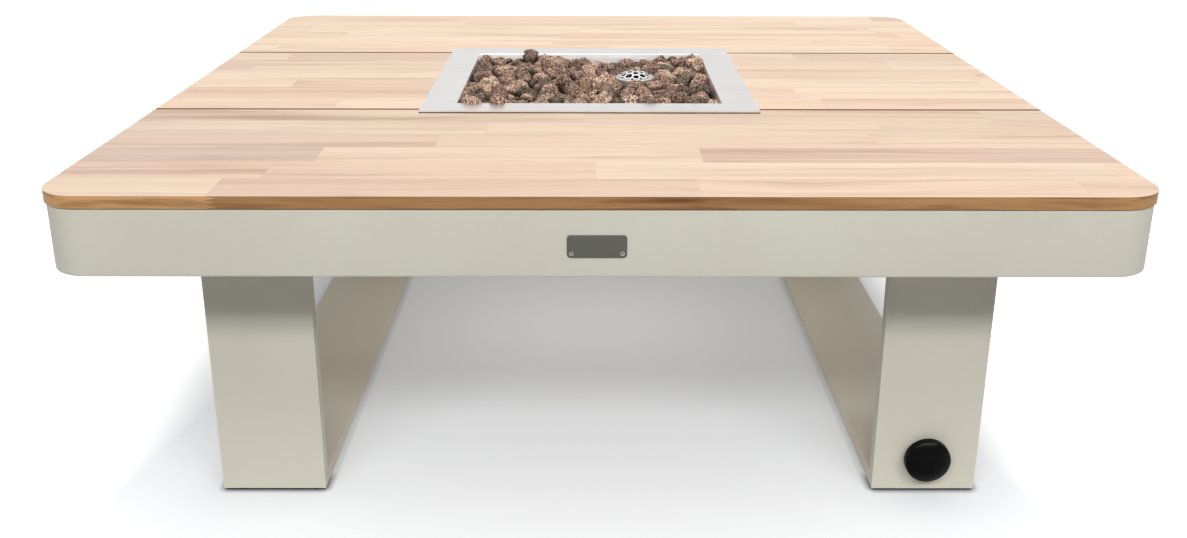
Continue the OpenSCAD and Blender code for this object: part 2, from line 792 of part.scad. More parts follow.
front_panel();
rear_panel();
left_panel();
right_panel();
panel_screws();
rail_screws();
apron();
nameplate();
plate_rivets();
front_rail();
front_seam_rail();
rear_seam_rail();
rear_rail();
support_strips();
left_leg();
right_leg();
leg_bolts();
leg_washers();
weld_nuts();
foot_pads();
burner_tray();
burner_deck();
lava_rocks();
ignition_guard();
guard_screws();
pilot_bracket();
electrode_insulator();
electrode_pin();
thermocouple();
mixer_elbow();
mixer_nut();
gas_injector();
gas_pipe();
pipe_nuts();
pipe_clips();
valve_bracket();
bracket_screws();
valve_body();
valve_bonnet();
valve_spindle();
spring_collar();
return_spring();
inlet_nipple();
control_knob();
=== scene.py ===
import json
import random
from math import asin, cos, hypot, pi, radians, sin, sqrt, tan

import bmesh
import bpy
import numpy
from mathutils import Matrix, Vector, geometry, noise

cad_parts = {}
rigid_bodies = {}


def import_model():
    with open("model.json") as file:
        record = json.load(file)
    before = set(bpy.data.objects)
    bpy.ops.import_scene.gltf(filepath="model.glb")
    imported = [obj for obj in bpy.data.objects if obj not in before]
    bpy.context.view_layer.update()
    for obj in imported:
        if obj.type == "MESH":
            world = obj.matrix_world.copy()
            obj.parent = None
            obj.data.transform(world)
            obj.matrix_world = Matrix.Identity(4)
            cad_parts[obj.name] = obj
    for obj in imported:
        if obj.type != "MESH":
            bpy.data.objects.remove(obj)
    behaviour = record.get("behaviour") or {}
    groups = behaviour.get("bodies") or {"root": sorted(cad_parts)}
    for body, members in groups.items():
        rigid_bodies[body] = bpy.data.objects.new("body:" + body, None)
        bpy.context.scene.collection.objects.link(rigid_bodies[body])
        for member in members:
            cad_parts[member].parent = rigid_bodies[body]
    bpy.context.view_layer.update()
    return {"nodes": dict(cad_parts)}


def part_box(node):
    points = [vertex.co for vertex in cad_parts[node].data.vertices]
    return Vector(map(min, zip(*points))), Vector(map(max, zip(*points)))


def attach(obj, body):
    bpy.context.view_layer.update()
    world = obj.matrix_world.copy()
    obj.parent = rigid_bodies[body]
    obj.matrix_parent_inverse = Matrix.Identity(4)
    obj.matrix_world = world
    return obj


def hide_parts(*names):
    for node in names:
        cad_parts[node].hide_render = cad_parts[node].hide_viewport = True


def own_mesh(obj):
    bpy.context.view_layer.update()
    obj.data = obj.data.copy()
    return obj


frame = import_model()
nodes = frame["nodes"]
scene = bpy.context.scene
scene.view_settings.view_transform = "Standard"
print("frame in:", len(nodes), "nodes")
hair = 1e-5  # a length that counts as nothing


def paint(*rgb):  # a colour as seen on screen, 0 to 255, on the shader's scale
    return tuple(((c / 255 + 0.055) / 1.055) ** 2.4 for c in rgb)


class Sock:  # a socket that does sums: a + 2 adds a Math node
    def __init__(self, graph, socket):
        self.graph, self.socket = graph, socket

    def sum(self, operation, first, second):
        return self.graph.node("ShaderNodeMath", {"operation": operation}, {0: first, 1: second})

    def most(self, other):
        return self.sum("MAXIMUM", self, other)

    def __add__(self, other):
        return self.sum("ADD", self, other)

    def __radd__(self, other):
        return self.sum("ADD", other, self)

    def __sub__(self, other):
        return self.sum("SUBTRACT", self, other)

    def __rsub__(self, other):
        return self.sum("SUBTRACT", other, self)

    def __mul__(self, other):
        return self.sum("MULTIPLY", self, other)

    def __rmul__(self, other):
        return self.sum("MULTIPLY", other, self)

    def __truediv__(self, other):
        return self.sum("DIVIDE", self, other)

    def __rtruediv__(self, other):
        return self.sum("DIVIDE", other, self)


class Graph:
    def __init__(self, tree):
        self.tree = tree

    def node(self, kind, settings=None, sockets=None, out=0):
        made = self.tree.nodes.new(kind)
        for key, value in (settings or {}).items():
            if key == "stops":
                ramp = made.color_ramp
                ramp.elements[0].position, ramp.elements[1].position = value[0][0], value[-1][0]
                for place, _ in value[1:-1]:
                    ramp.elements.new(place)
                for element, (_, colour) in zip(ramp.elements, value):
                    element.color = (*colour, 1)
            else:
                setattr(made, key, value)
        for key, value in (sockets or {}).items():
            socket = made.inputs[key]
            if isinstance(value, Sock):
                self.tree.links.new(value.socket, socket)
            elif socket.type == "RGBA":
                socket.default_value = (*value, 1)
            else:
                socket.default_value = value
        return Sock(self, made.outputs[out]) if made.outputs else None

    def others(self, sock):  # all the outputs of the node that a socket belongs to
        return [Sock(self, s) for s in sock.socket.node.outputs]


class Finish(Graph):
    def __init__(self, name):
        self.material = bpy.data.materials.new(name)
        self.material.use_nodes = True
        super().__init__(self.material.node_tree)
        self.tree.nodes.clear()
        self.place = self.node("ShaderNodeTexCoord", out="Object")

    def axes(self, vector):
        return self.others(self.node("ShaderNodeSeparateXYZ", None, {0: vector}))

    def vector(self, x, y, z):
        return self.node("ShaderNodeCombineXYZ", None, {0: x, 1: y, 2: z})

    def stretched(self, vector, scale):
        return self.node("ShaderNodeVectorMath", {"operation": "MULTIPLY"}, {0: vector, 1: scale})

    def noise(self, vector, scale, detail=3.0, rough=0.55, swirl=0.0):
        return self.node("ShaderNodeTexNoise", None, {
            "Vector": vector, "Scale": scale, "Detail": detail, "Roughness": rough, "Distortion": swirl})

    def cells(self, vector, scale):
        return self.node("ShaderNodeTexVoronoi", None, {"Vector": vector, "Scale": scale})

    def tag(self, vector):  # one random number for each whole-number place
        return self.node("ShaderNodeTexWhiteNoise", {"noise_dimensions": "3D"}, {"Vector": vector})

    def one(self, operation, value):
        return self.node("ShaderNodeMath", {"operation": operation}, {0: value})

    def step(self, value, low, high):
        return self.node("ShaderNodeMapRange", {"interpolation_type": "SMOOTHSTEP"}, {
            "Value": value, "From Min": low, "From Max": high})

    def ramp(self, value, stops):
        return self.node("ShaderNodeValToRGB", {"stops": [(p, paint(*c)) for p, c in stops]}, {0: value})

    def mixed(self, factor, first, second, blend="MIX"):
        return self.node("ShaderNodeMix", {"data_type": "RGBA", "blend_type": blend},
                         {0: factor, 6: first, 7: second}, out=2)

    def tinted(self, factor, colour, tint):
        return self.mixed(factor, colour, tint, "MULTIPLY")

    def bump(self, height, distance, strength=1.0):
        return self.node("ShaderNodeBump", None, {"Height": height, "Distance": distance, "Strength": strength})

    def shade(self, colour, rough, normal, **fixed):
        sockets = {"Base Color": colour, "Roughness": rough, "Normal": normal}
        sockets.update({key.replace("_", " "): value for key, value in fixed.items()})
        self.node("ShaderNodeOutputMaterial", None, {
            "Surface": self.node("ShaderNodeBsdfPrincipled", None, sockets)})
        return self.material


class Builder(Graph):  # a Geometry Nodes tree with named inputs
    def __init__(self, name, inputs):
        super().__init__(bpy.data.node_groups.new(name, "GeometryNodeTree"))
        face = self.tree.interface
        face.new_socket("Geometry", in_out="INPUT", socket_type="NodeSocketGeometry")
        self.keys = {label: face.new_socket(label, in_out="INPUT", socket_type="NodeSocket" + kind).identifier
                     for label, kind in inputs.items()}
        face.new_socket("Geometry", in_out="OUTPUT", socket_type="NodeSocketGeometry")
        start = self.others(self.node("NodeGroupInput"))
        self.given = {sock.socket.name: sock for sock in start if sock.socket.name}

    def close(self, geometry):
        real = self.node("GeometryNodeRealizeInstances", None, {"Geometry": geometry})
        done = self.node("GeometryNodeSetMaterial", None, {
            "Geometry": real, "Material": self.given["Material"]})
        self.node("NodeGroupOutput", None, {"Geometry": done})
        return self

    def read(self, label, form="FLOAT_VECTOR"):
        return self.node("GeometryNodeInputNamedAttribute", {"data_type": form}, {"Name": label})

    def spread(self, shape, more=None):  # a shape on every point, turned as the points say
        turn = self.node("FunctionNodeEulerToRotation", None, {0: self.read("turn")})
        return self.close(self.node("GeometryNodeInstanceOnPoints", None, {
            "Points": self.given["Geometry"], "Instance": shape, "Rotation": turn, **(more or {})}))

    def make(self, name, mesh, values):  # the tree's result as a plain mesh
        carrier = bpy.data.objects.new(name + "Carrier", mesh)
        scene.collection.objects.link(carrier)
        modifier = carrier.modifiers.new("build", "NODES")
        modifier.node_group = self.tree
        for label, value in values.items():
            modifier[self.keys[label]] = value
        graph = bpy.context.evaluated_depsgraph_get()
        made = bpy.data.meshes.new_from_object(carrier.evaluated_get(graph))
        carrier.modifiers.clear()
        bpy.data.objects.remove(carrier)
        made.name = name
        return made


# Camera, measured back from the photograph's own edges
camera = {
    "place": (-0.0115, -1.5726, 0.7091),
    "pitch": 18.858, "yaw": 0.229, "roll": -0.141,  # degrees
    "lens": 36.46, "sensor": 36.0, "shiftY": -0.0358, "clip": (0.05, 80),
}


def setCamera():
    pitch, yaw, roll = (radians(camera[key]) for key in ("pitch", "yaw", "roll"))
    ahead = Vector((sin(yaw) * cos(pitch), cos(yaw) * cos(pitch), -sin(pitch)))
    right = Vector((cos(yaw), -sin(yaw), 0))
    up = right.cross(ahead)
    level = right * cos(roll) - up * sin(roll)
    upright = right * sin(roll) + up * cos(roll)
    data = bpy.data.cameras.new("camera")
    data.sensor_fit, data.sensor_width = "HORIZONTAL", camera["sensor"]
    data.lens, data.shift_y = camera["lens"], camera["shiftY"]
    data.clip_start, data.clip_end = camera["clip"]
    eye = bpy.data.objects.new("camera", data)
    eye.matrix_world = Matrix.Translation(camera["place"]) @ Matrix((level, upright, -ahead)).transposed().to_4x4()
    scene.collection.objects.link(eye)
    scene.camera = eye


# Studio: a pale floor, an even white room and soft lamps
studio = {
    "room": 0.12,
    "front": {"place": (0.15, -2.76, 2.2), "aim": (0, -0.4, 0.25), "size": (4.8, 0.5), "watts": 96},
    "above": {"place": (0.2, 1.7, 3.0), "aim": (0.2, 1.7, 0.3), "size": (3.4, 3.4), "watts": 73.5},
    "below": {"place": (0.0, 0.06, 0.272), "aim": (0, 0.06, 0), "size": (0.56, 0.44), "watts": 0.8,
              "tint": (1.0, 0.94, 0.85)},
    "floorSize": 16.0, "floorDrop": 0.0004, "floorBounce": 0.68, "floorWhite": (0.5, 0.51, 0.53),
    "floorGlowAndPaintedShadow": ((0.198, 0.211, 0.220), (1, 1, 1)),  # the floor's own glow: a painted shadow near the middle under the table, white far off
    "glowFrom": 0.14, "glowTo": 1.085, "glowMiddle": 0.1, "glowWide": 0.62,
    "aside": (0.40, 0.60), "asideMiddle": -0.03,  # outside the legs the floor is white again
    "shadeSamples": 8, "contact": 0.07, "contactShare": 0.5,  # the wide painted shade round the feet
    "seat": 0.009, "seatPower": 1.7,  # the tight painted shade, and where it fades behind the front pads
    "seatFront": (-0.392, -0.36), "seatLight": 0.85,
}
corners = ((-1, -1, 180), (1, -1, 270), (1, 1, 0), (-1, 1, 90))  # of a rectangle, and where each round starts


def seen(f):  # 1 where a camera, mirror or glass ray looks
    rays = f.others(f.node("ShaderNodeLightPath"))
    byName = {ray.socket.name: ray for ray in rays}
    return byName["Is Camera Ray"].most(byName["Is Glossy Ray"]).most(byName["Is Transmission Ray"])


def setStudio():
    f = Finish("floorWhite")
    x, y, _ = f.axes(f.place)
    # painted shadow: the floor's glow is dark round the middle under the table, and white far off and outside the
    # legs
    off = y - studio["glowMiddle"]
    wide = x * studio["glowWide"]
    far = f.step(f.one("SQRT", wide * wide + off * off), studio["glowFrom"], studio["glowTo"])
    aside = f.step(f.one("ABSOLUTE", x - studio["asideMiddle"]), *studio["aside"])
    own = f.mixed(far.most(aside), *studio["floorGlowAndPaintedShadow"])
    # painted shade: ambient occlusion darkens the floor's glow round the feet, and a tight painted shade darkens both
    # glow and lit white right at them
    fineness = {"samples": studio["shadeSamples"]}
    shade = f.node("ShaderNodeAmbientOcclusion", fineness, {"Color": own, "Distance": studio["contact"]})
    shade = f.mixed(studio["contactShare"], own, shade)
    close = f.node("ShaderNodeAmbientOcclusion", fineness, {"Distance": studio["seat"]}, out="AO")
    close = close.sum("POWER", close, studio["seatPower"])
    close = close.most(studio["seatLight"] * f.step(y, *studio["seatFront"]))
    shade = f.mixed(close, (0, 0, 0), shade)
    lit = f.node("ShaderNodeBsdfDiffuse", None, {"Color": f.mixed(close, (0, 0, 0), studio["floorWhite"])})
    glow = f.node("ShaderNodeEmission", None, {"Color": shade, "Strength": 1.0})
    both = f.node("ShaderNodeAddShader", None, {0: glow, 1: lit})
    plain = f.node("ShaderNodeBsdfDiffuse", None, {"Color": [studio["floorBounce"]] * 3})
    surface = f.node("ShaderNodeMixShader", None, {0: seen(f), 1: plain, 2: both})
    under = f.node("ShaderNodeNewGeometry", out="Backfacing")  # from below one looks through the floor
    surface = f.node("ShaderNodeMixShader", None, {0: under, 1: surface, 2: f.node("ShaderNodeBsdfTransparent")})
    f.node("ShaderNodeOutputMaterial", None, {"Surface": surface})
    half = studio["floorSize"] / 2
    sheet = bpy.data.meshes.new("floor")
    sheet.from_pydata([(sx * half, sy * half, -studio["floorDrop"]) for sx, sy, _ in corners], [], [(0, 1, 2, 3)])
    sheet.materials.append(f.material)
    floor = bpy.data.objects.new("floor", sheet)
    scene.collection.objects.link(floor)

    world = bpy.data.worlds.new("room")
    world.use_nodes = True
    g = Graph(world.node_tree)
    g.tree.nodes.clear()
    rays = seen(g)
    room = g.node("ShaderNodeBackground", None, {"Color": (1, 1, 1), "Strength": studio["room"]})
    view = g.node("ShaderNodeBackground", None, {"Color": (1, 1, 1), "Strength": 1.0})
    mix = g.node("ShaderNodeMixShader", None, {0: rays, 1: room, 2: view})
    g.node("ShaderNodeOutputWorld", None, {"Surface": mix})
    scene.world = world

    for name in ("front", "above", "below"):
        spec = studio[name]
        lamp = bpy.data.lights.new(name, "AREA")
        lamp.shape, lamp.size, lamp.size_y = "RECTANGLE", *spec["size"]
        lamp.energy, lamp.color = spec["watts"], spec.get("tint", (1, 1, 1))
        stand = bpy.data.objects.new(name, lamp)
        stand.location = spec["place"]
        stand.rotation_euler = (Vector(spec["aim"]) - stand.location).to_track_quat("-Z", "Y").to_euler()
        stand.visible_camera = False
        stand.visible_glossy = name == "front"  # the others would glare in the steel
        scene.collection.objects.link(stand)


setCamera()
setStudio()
print("camera and studio set")


# Mesh helpers
def meshFrom(bm, name, sharp=35):
    bmesh.ops.recalc_face_normals(bm, faces=bm.faces)
    mesh = bpy.data.meshes.new(name)
    bm.to_mesh(mesh)
    bm.free()
    mesh.shade_smooth()
    mesh.set_sharp_from_angle(angle=radians(sharp))
    return mesh


def fit(name, mesh, finish, replaced=(), body="table"):
    obj = bpy.data.objects.new(name, mesh)
    if not mesh.materials:
        mesh.materials.append(finish)
    scene.collection.objects.link(obj)
    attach(obj, body)
    if replaced:
        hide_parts(*replaced)
    return obj


def eased(bm, width, steps, pick):  # rounds the edges that pick chooses
    edges = [e for e in bm.edges if pick(e)]
    bmesh.ops.bevel(bm, geom=edges, offset=width, segments=steps, profile=0.5, affect="EDGES", clamp_overlap=True)


def corner(edge, least=0.6):
    return len(edge.link_faces) == 2 and edge.calc_face_angle(0) > least


def camel(node):  # the name of the piece that takes a node's place
    first, *words = node.split("_")
    return first + "".join(word.title() for word in words)


def prism(bm, outline, low, high):
    floor = [bm.verts.new((x, y, low)) for x, y in outline]
    roof = [bm.verts.new((x, y, high)) for x, y in outline]
    bm.faces.new(floor[::-1])
    bm.faces.new(roof)
    for i in range(len(outline)):
        j = (i + 1) % len(outline)
        bm.faces.new((floor[i], floor[j], roof[j], roof[i]))


def softRectangle(low, high, radius, steps, soft=(-1, 1)):  # soft: the sides in y that have round corners
    outline = []
    for sx, sy, start in corners:
        x, y = (low if sx < 0 else high)[0], (low if sy < 0 else high)[1]
        if sy not in soft:
            outline.append((x, y))
            continue
        for i in range(steps + 1):
            angle = radians(start + 90 * i / steps)
            outline.append((x - sx * radius + radius * cos(angle), y - sy * radius + radius * sin(angle)))
    return outline


def skin(bm, rings, closed=False):  # joins rings of points, each ring a loop or a single point
    pairs = list(zip(rings, rings[1:])) + ([(rings[-1], rings[0])] if closed else [])
    for low, high in pairs:
        count = max(len(low), len(high))
        for i in range(count):
            j = (i + 1) % count
            four = (low[i % len(low)], low[j % len(low)], high[j % len(high)], high[i % len(high)])
            face = list(dict.fromkeys(four))
            if len(face) > 2:
                bm.faces.new(face)


def fullTurn(count):
    return [2 * pi * i / count for i in range(count)]


def reach(size, angle, kind="round"):  # how far a ring of that kind stands out at an angle
    if kind == "hex":
        return size / cos(angle % (pi / 3) - pi / 6)
    if kind == "cross":
        arm, half = size
        turn = abs((angle + pi / 4) % (pi / 2) - pi / 4)
        return arm / cos(turn) if tan(turn) <= half / arm else half / sin(turn)
    return size


def turned(bm, layers, place=Matrix(), count=48, closed=False):  # a stack of rings: size, height, kind
    rings = []
    for size, height, *kind in layers:
        if not size:
            rings.append([bm.verts.new(place @ Vector((0, 0, height)))])
            continue
        ring = []
        for angle in fullTurn(count):
            out = reach(size, angle, *kind)
            ring.append(bm.verts.new(place @ Vector((out * cos(angle), out * sin(angle), height))))
        rings.append(ring)
    skin(bm, rings, closed)


def solidBoxes(node):  # the lowest and highest corner of each solid in a CAD node
    bm = bmesh.new()
    bm.from_mesh(nodes[node].data)
    bmesh.ops.remove_doubles(bm, verts=bm.verts, dist=hair)
    left, boxes = set(bm.verts), []
    while left:
        stack, island = [left.pop()], []
        while stack:
            vert = stack.pop()
            island.append(vert.co.copy())
            for edge in vert.link_edges:
                other = edge.other_vert(vert)
                if other in left:
                    left.remove(other)
                    stack.append(other)
        boxes.append((Vector(map(min, zip(*island))), Vector(map(max, zip(*island)))))
    bm.free()
    return sorted(boxes, key=lambda box: tuple(box[0]))


def spotMesh(name, spots, columns):  # bare points, each with its own turn, size and the like
    mesh = bpy.data.meshes.new(name)
    mesh.from_pydata(spots, [], [])
    for label, form, values in columns:
        field = "vector" if form == "FLOAT_VECTOR" else "value"
        mesh.attributes.new(label, form, "POINT").data.foreach_set(field, values)
    return mesh


def thicken(bm, shift):  # closes an open sheet: shift gives the way from a point to its inner side
    made = bmesh.ops.extrude_face_region(bm, geom=bm.faces[:], use_keep_orig=True)["geom"]
    for vert in [part for part in made if isinstance(part, bmesh.types.BMVert)]:
        vert.co += shift(vert.co)


# Wooden top: finger-jointed staves, solid through the panel, oiled brown on the edges
topWood = {
    "staves": 6, "lamella": 0.43, "tooth": 0.0042, "toothDepth": 0.010,
    "arris": 0.0010, "seamArris": 0.0021, "seamDark": 0.0031, "underEdge": 0.0005,
    "cornerRadius": 0.042, "cornerSteps": 28,
    "seamsWithin": 0.2,  # of the middle
    "cuts": {  # seed, how much paler, how much greyer
        "front_panel": (3.5, 0.04, 0.9), "rear_panel": (4.5, 0.42, 0),
        "left_panel": (5.5, 0.1, 0), "right_panel": (6.5, 0.32, 0)},
    "tones": ((0.0, (219, 188, 166)), (0.25, (238, 208, 185)), (0.5, (247, 217, 191)),
              (0.8, (253, 225, 198)), (1.0, (255, 230, 204))),
    "edgeTones": ((0.0, (146, 105, 69)), (0.45, (186, 142, 95)), (1.0, (206, 163, 112))),
}
seamY = (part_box("right_panel")[1].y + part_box("rear_panel")[0].y) / 2


def woodFinish(name, low, high, seed, paler, greyer):
    f = Finish(name)
    stave = (high - low) / topWood["staves"]
    x, y, z = f.axes(f.place)
    across = f.node("ShaderNodeClamp", None, {
        "Value": (y - low) / stave, "Min": 0.001, "Max": topWood["staves"] - 0.001})
    row = f.one("FLOOR", across)
    inRow = across - row
    rowTag = f.tag(f.vector(row + 0.5, seed, 0.5))
    half = topWood["tooth"] / 2
    teeth = z.sum("PINGPONG", z, half)
    along = (x + teeth * (topWood["toothDepth"] / half)) / topWood["lamella"] + rowTag * 9.0
    along = along + 0.9 * f.noise(f.vector(along * 0.8, row * 5.3, seed), 1.0, 0.0)
    cell = f.one("FLOOR", along)
    inCell = along - cell
    tag = f.tag(f.vector(row + 0.5, cell + 0.5, seed))
    second = f.tag(f.vector(cell + 0.5, seed, row + 0.5))

    # every lamella is cut from another place in the log
    wander = f.noise(f.vector(x * 4.0, tag * 40, second * 40), 1.0, 2.0)
    log = f.vector(x + tag * 31, y + wander * 0.03 + second * 17, z + tag * 11)
    figure = f.noise(f.stretched(log, (2.2, 34, 34)), 1.0, 5.0, 0.6, 0.9)
    streak = f.noise(f.stretched(log, (1.5, 150, 150)), 1.0, 5.0, 0.65, 0.2)
    fine = f.noise(f.stretched(log, (9, 420, 420)), 1.0, 3.0, 0.6)
    pores = f.noise(f.stretched(log, (55, 1300, 1300)), 1.0, 1.0)
    broad = f.noise(f.stretched(log, (0.9, 15, 15)), 1.0, 2.0)

    tone = f.ramp(tag * 0.75 + (0.12 + paler), topWood["tones"])
    tone = f.tinted(0.95 * f.step(figure, 0.48, 0.7), tone, (0.81, 0.77, 0.76))
    tone = f.tinted(0.85 * f.step(broad, 0.46, 0.7), tone, (0.90, 0.88, 0.87))
    tone = f.tinted(0.6 * f.step(streak, 0.42, 0.68), tone, (0.88, 0.85, 0.83))
    tone = f.mixed(0.45 * (1 - f.step(streak, 0.3, 0.44)), tone, paint(254, 233, 208))
    heart = f.step(broad, 0.52, 0.68) * f.step(second, 0.76, 0.86) * f.step(figure, 0.36, 0.6)
    tone = f.tinted(0.8 * heart, tone, (0.76, 0.68, 0.63))
    tone = f.tinted(0.5 * f.step(fine, 0.5, 0.72), tone, (0.92, 0.89, 0.87))
    tone = f.tinted(0.35 * f.step(pores, 0.62, 0.75), tone, (0.80, 0.73, 0.68))

    if greyer:  # the left staves are of greyer wood
        tone = f.tinted(greyer * (1 - f.step(x + tag * 0.3, -0.45, 0.1)), tone, (0.93, 0.93, 0.96))

    # glue lines: pale along some staves, faint across the ends
    pale = (1 - f.step(inRow, 0.0, 0.05)) * f.step(rowTag, 0.25, 0.5)
    tone = f.mixed(0.5 * pale, tone, paint(253, 231, 207))
    glue = (1 - f.step(1 - inRow, 0.0, 0.02)) * 0.3 + (1 - f.step(inCell, 0.0, 0.003)) * 0.22
    tone = f.tinted(glue, tone, (0.66, 0.56, 0.48))

    # the sawn edges and the underside take more oil, and along the seams the whole rounded edge gets a painted shadow
    lift = f.axes(f.node("ShaderNodeTexCoord", out="Normal"))[2]
    wide = topWood["seamDark"]
    # painted shadow: a band along each seam, darkened whatever way it faces
    seam = 1 - f.step(f.one("ABSOLUTE", f.one("ABSOLUTE", y) - seamY), wide, wide + 0.0004)
    side = seam.most(1 - f.step(lift, 0.3, 0.8))
    oiled = f.ramp(tag * 0.6 + second * 0.4, topWood["edgeTones"])
    slant = f.noise(f.stretched(f.vector(x + z * 2.5, y, z), (5, 60, 130)), 1.0, 5.0, 0.62, 0.7)
    oiled = f.tinted(0.95 * f.step(slant, 0.46, 0.66), oiled, (0.58, 0.52, 0.48))
    oiled = f.tinted(0.5 * f.step(fine, 0.48, 0.7), oiled, (0.80, 0.76, 0.72))
    smudge = f.noise(f.stretched(f.vector(x + z * 2.0, y, z), (3.2, 20, 40)), 1.0, 3.0, 0.6, 0.5)
    oiled = f.tinted(0.85 * f.step(smudge, 0.52, 0.7), oiled, (0.62, 0.58, 0.56))
    # the painted seam shadow
    oiled = f.tinted(seam, oiled, (0.38, 0.29, 0.21))
    colour = f.mixed(side, tone, oiled)

    rough = 0.42 + 0.14 * fine - 0.08 * pores
    height = figure * 0.3 + streak * 0.3 + fine * 0.4 - f.step(pores, 0.6, 0.75) * 0.5
    return f.shade(colour, rough, f.bump(height, 0.00012, 0.6), Specular_IOR_Level=0.12)


def panel(name, finish, rounded):
    low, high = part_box(name)
    bm = bmesh.new()
    prism(bm, softRectangle(low, high, topWood["cornerRadius"], topWood["cornerSteps"], rounded), low.z, high.z)

    def rim(edge, seam):  # top edges along a seam, or the others
        a, b = (v.co for v in edge.verts)
        inner = max(abs(a.y), abs(b.y)) < topWood["seamsWithin"] and a.y == b.y
        return min(a.z, b.z) > high.z - hair and seam == inner

    eased(bm, topWood["arris"], steps=4, pick=lambda e: rim(e, False))
    eased(bm, topWood["seamArris"], steps=2, pick=lambda e: rim(e, True))
    eased(bm, topWood["underEdge"], steps=1, pick=lambda e: all(v.co.z < low.z + hair for v in e.verts))
    fit(camel(name), meshFrom(bm, name), finish, [name])


def woodenTop():
    for name, rounded in (("front_panel", (-1,)), ("rear_panel", (1,)), ("left_panel", ()), ("right_panel", ())):
        low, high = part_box(name)
        panel(name, woodFinish(name.replace("_panel", "Wood"), low.y, high.y, *topWood["cuts"][name]), rounded)


woodenTop()
print("wooden top laid")


# Cream powder coat on the apron and the legs
# dust: the paler colour painted near the floor as bounce light
cream = {"light": (201, 199, 186), "deep": (194, 191, 177), "grain": 900.0, "peel": 230.0,
         "dust": (231, 227, 212), "paintedLightTop": 0.17}


def creamFinish(name):
    f = Finish(name)
    cloud = f.noise(f.place, 5.0, 3.0)
    grit = f.noise(f.place, cream["grain"], 2.0, 0.6)
    peel = f.noise(f.place, cream["peel"], 1.0)
    colour = f.mixed(f.step(cloud * 0.7 + grit * 0.3, 0.3, 0.7), paint(*cream["deep"]), paint(*cream["light"]))
    # painted light: the coat turns paler towards the floor, standing in for the floor's bounce light
    low = 1 - f.step(f.axes(f.place)[2] + 0.05 * (cloud - 0.5), -0.03, cream["paintedLightTop"])
    colour = f.mixed(0.75 * low, colour, paint(*cream["dust"]))
    return f.shade(colour, 0.46 + 0.2 * grit, f.bump(grit * 0.6 + peel * 0.4, 0.00009, 0.6),
                   Specular_IOR_Level=0.4)


creamCoat = creamFinish("creamCoat")

# Apron: one folded band with a ledge above and a hem below
apron = {"radius": 0.040, "steps": 24, "sheet": 0.002, "ledge": 0.025, "hem": 0.012, "fold": 0.0023,
         "foldSteps": (0.4, 0.8, 1.2)}  # radians


def apronBand():
    low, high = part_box("apron")
    t, r, half = apron["sheet"], apron["fold"], high.x
    profile = [(-t - apron["hem"], low.z), (-r, low.z)]
    profile += [(-r + r * sin(a), low.z + r - r * cos(a)) for a in apron["foldSteps"]]
    profile += [(0, low.z + r), (0, high.z - r)]
    profile += [(-r + r * cos(a), high.z - r + r * sin(a)) for a in apron["foldSteps"]]
    profile += [(-r, high.z), (-t - apron["ledge"], high.z), (-t - apron["ledge"], high.z - t),
                (-r, high.z - t), (-t, high.z - r), (-t, low.z + r), (-r, low.z + t), (-t - apron["hem"], low.z + t)]
    bm = bmesh.new()
    rings, radius = [], apron["radius"]
    middle = half - radius
    for sx, sy, start in corners:
        for i in range(apron["steps"] + 1):
            a = radians(start + 90 * i / apron["steps"])
            rings.append([bm.verts.new((sx * middle + (radius + n) * cos(a),
                                        sy * middle + (radius + n) * sin(a), z)) for n, z in profile])
    skin(bm, rings, closed=True)
    fit("apronBand", meshFrom(bm, "apron"), creamCoat, ["apron"])


# Legs: closed loops of flat tube with soft edges
legs = {"ribbon": 0.015, "edge": 0.0022, "steps": 3}


def loopLeg(node):
    low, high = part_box(node)
    t = legs["ribbon"]
    bm = bmesh.new()
    sides = []
    for x in (low.x, high.x):
        sides.append([[bm.verts.new((x, y, z)) for y, z in (
            (low.y + d, low.z + d), (high.y - d, low.z + d), (high.y - d, high.z - d), (low.y + d, high.z - d))]
            for d in (0, t)])
    (outA, inA), (outB, inB) = sides
    skin(bm, [outA, outB, inB, inA], closed=True)
    eased(bm, legs["edge"], legs["steps"], corner)
    fit(camel(node), meshFrom(bm, node, sharp=50), creamCoat, [node])


apronBand()
loopLeg("left_leg")
loopLeg("right_leg")
print("apron and legs folded")


# Metals and plastics
def metalFinish(name, dark, light, rough, brushed=(1, 1, 1), grain=500.0, metallic=1.0, wallBelow=None,
                wallTone=(1.1, 1.1, 1.11), wallFade=0.004):
    f = Finish(name)
    place = f.stretched(f.place, brushed)
    streak = f.noise(place, grain, 3.0, 0.6)
    cloud = f.noise(f.place, 9.0, 3.0, 0.6)
    smear = f.noise(f.place, 38.0, 4.0, 0.6, 0.6)
    colour = f.mixed(streak * 0.6 + cloud * 0.4, paint(*dark), paint(*light))
    if wallBelow:  # painted light and shade: the tray's walls are painted a little paler than its flange, for the light they catch; the guard's wall is darker below its cap, soot with painted shade among the rocks
        wall = 1 - f.step(f.axes(f.place)[2], wallBelow - wallFade, wallBelow)
        colour = f.tinted(wall, colour, wallTone)
    roughness = rough + 0.16 * (streak - 0.5) + 0.14 * (smear - 0.5)
    return f.shade(colour, roughness, f.bump(streak, 0.00003, 0.7), Metallic=metallic)


def plasticFinish(name, dark, light, rough, grain=1200.0, depth=0.00004, **fixed):
    f = Finish(name)
    grit = f.noise(f.place, grain, 2.0, 0.6)
    dust = f.noise(f.place, 60.0, 4.0, 0.65, 0.4)
    colour = f.mixed(f.step(grit * 0.5 + dust * 0.5, 0.35, 0.7), paint(*dark), paint(*light))
    return f.shade(colour, rough + 0.1 * (grit - 0.5) + 0.16 * (dust - 0.5), f.bump(grit, depth, 0.5), **fixed)


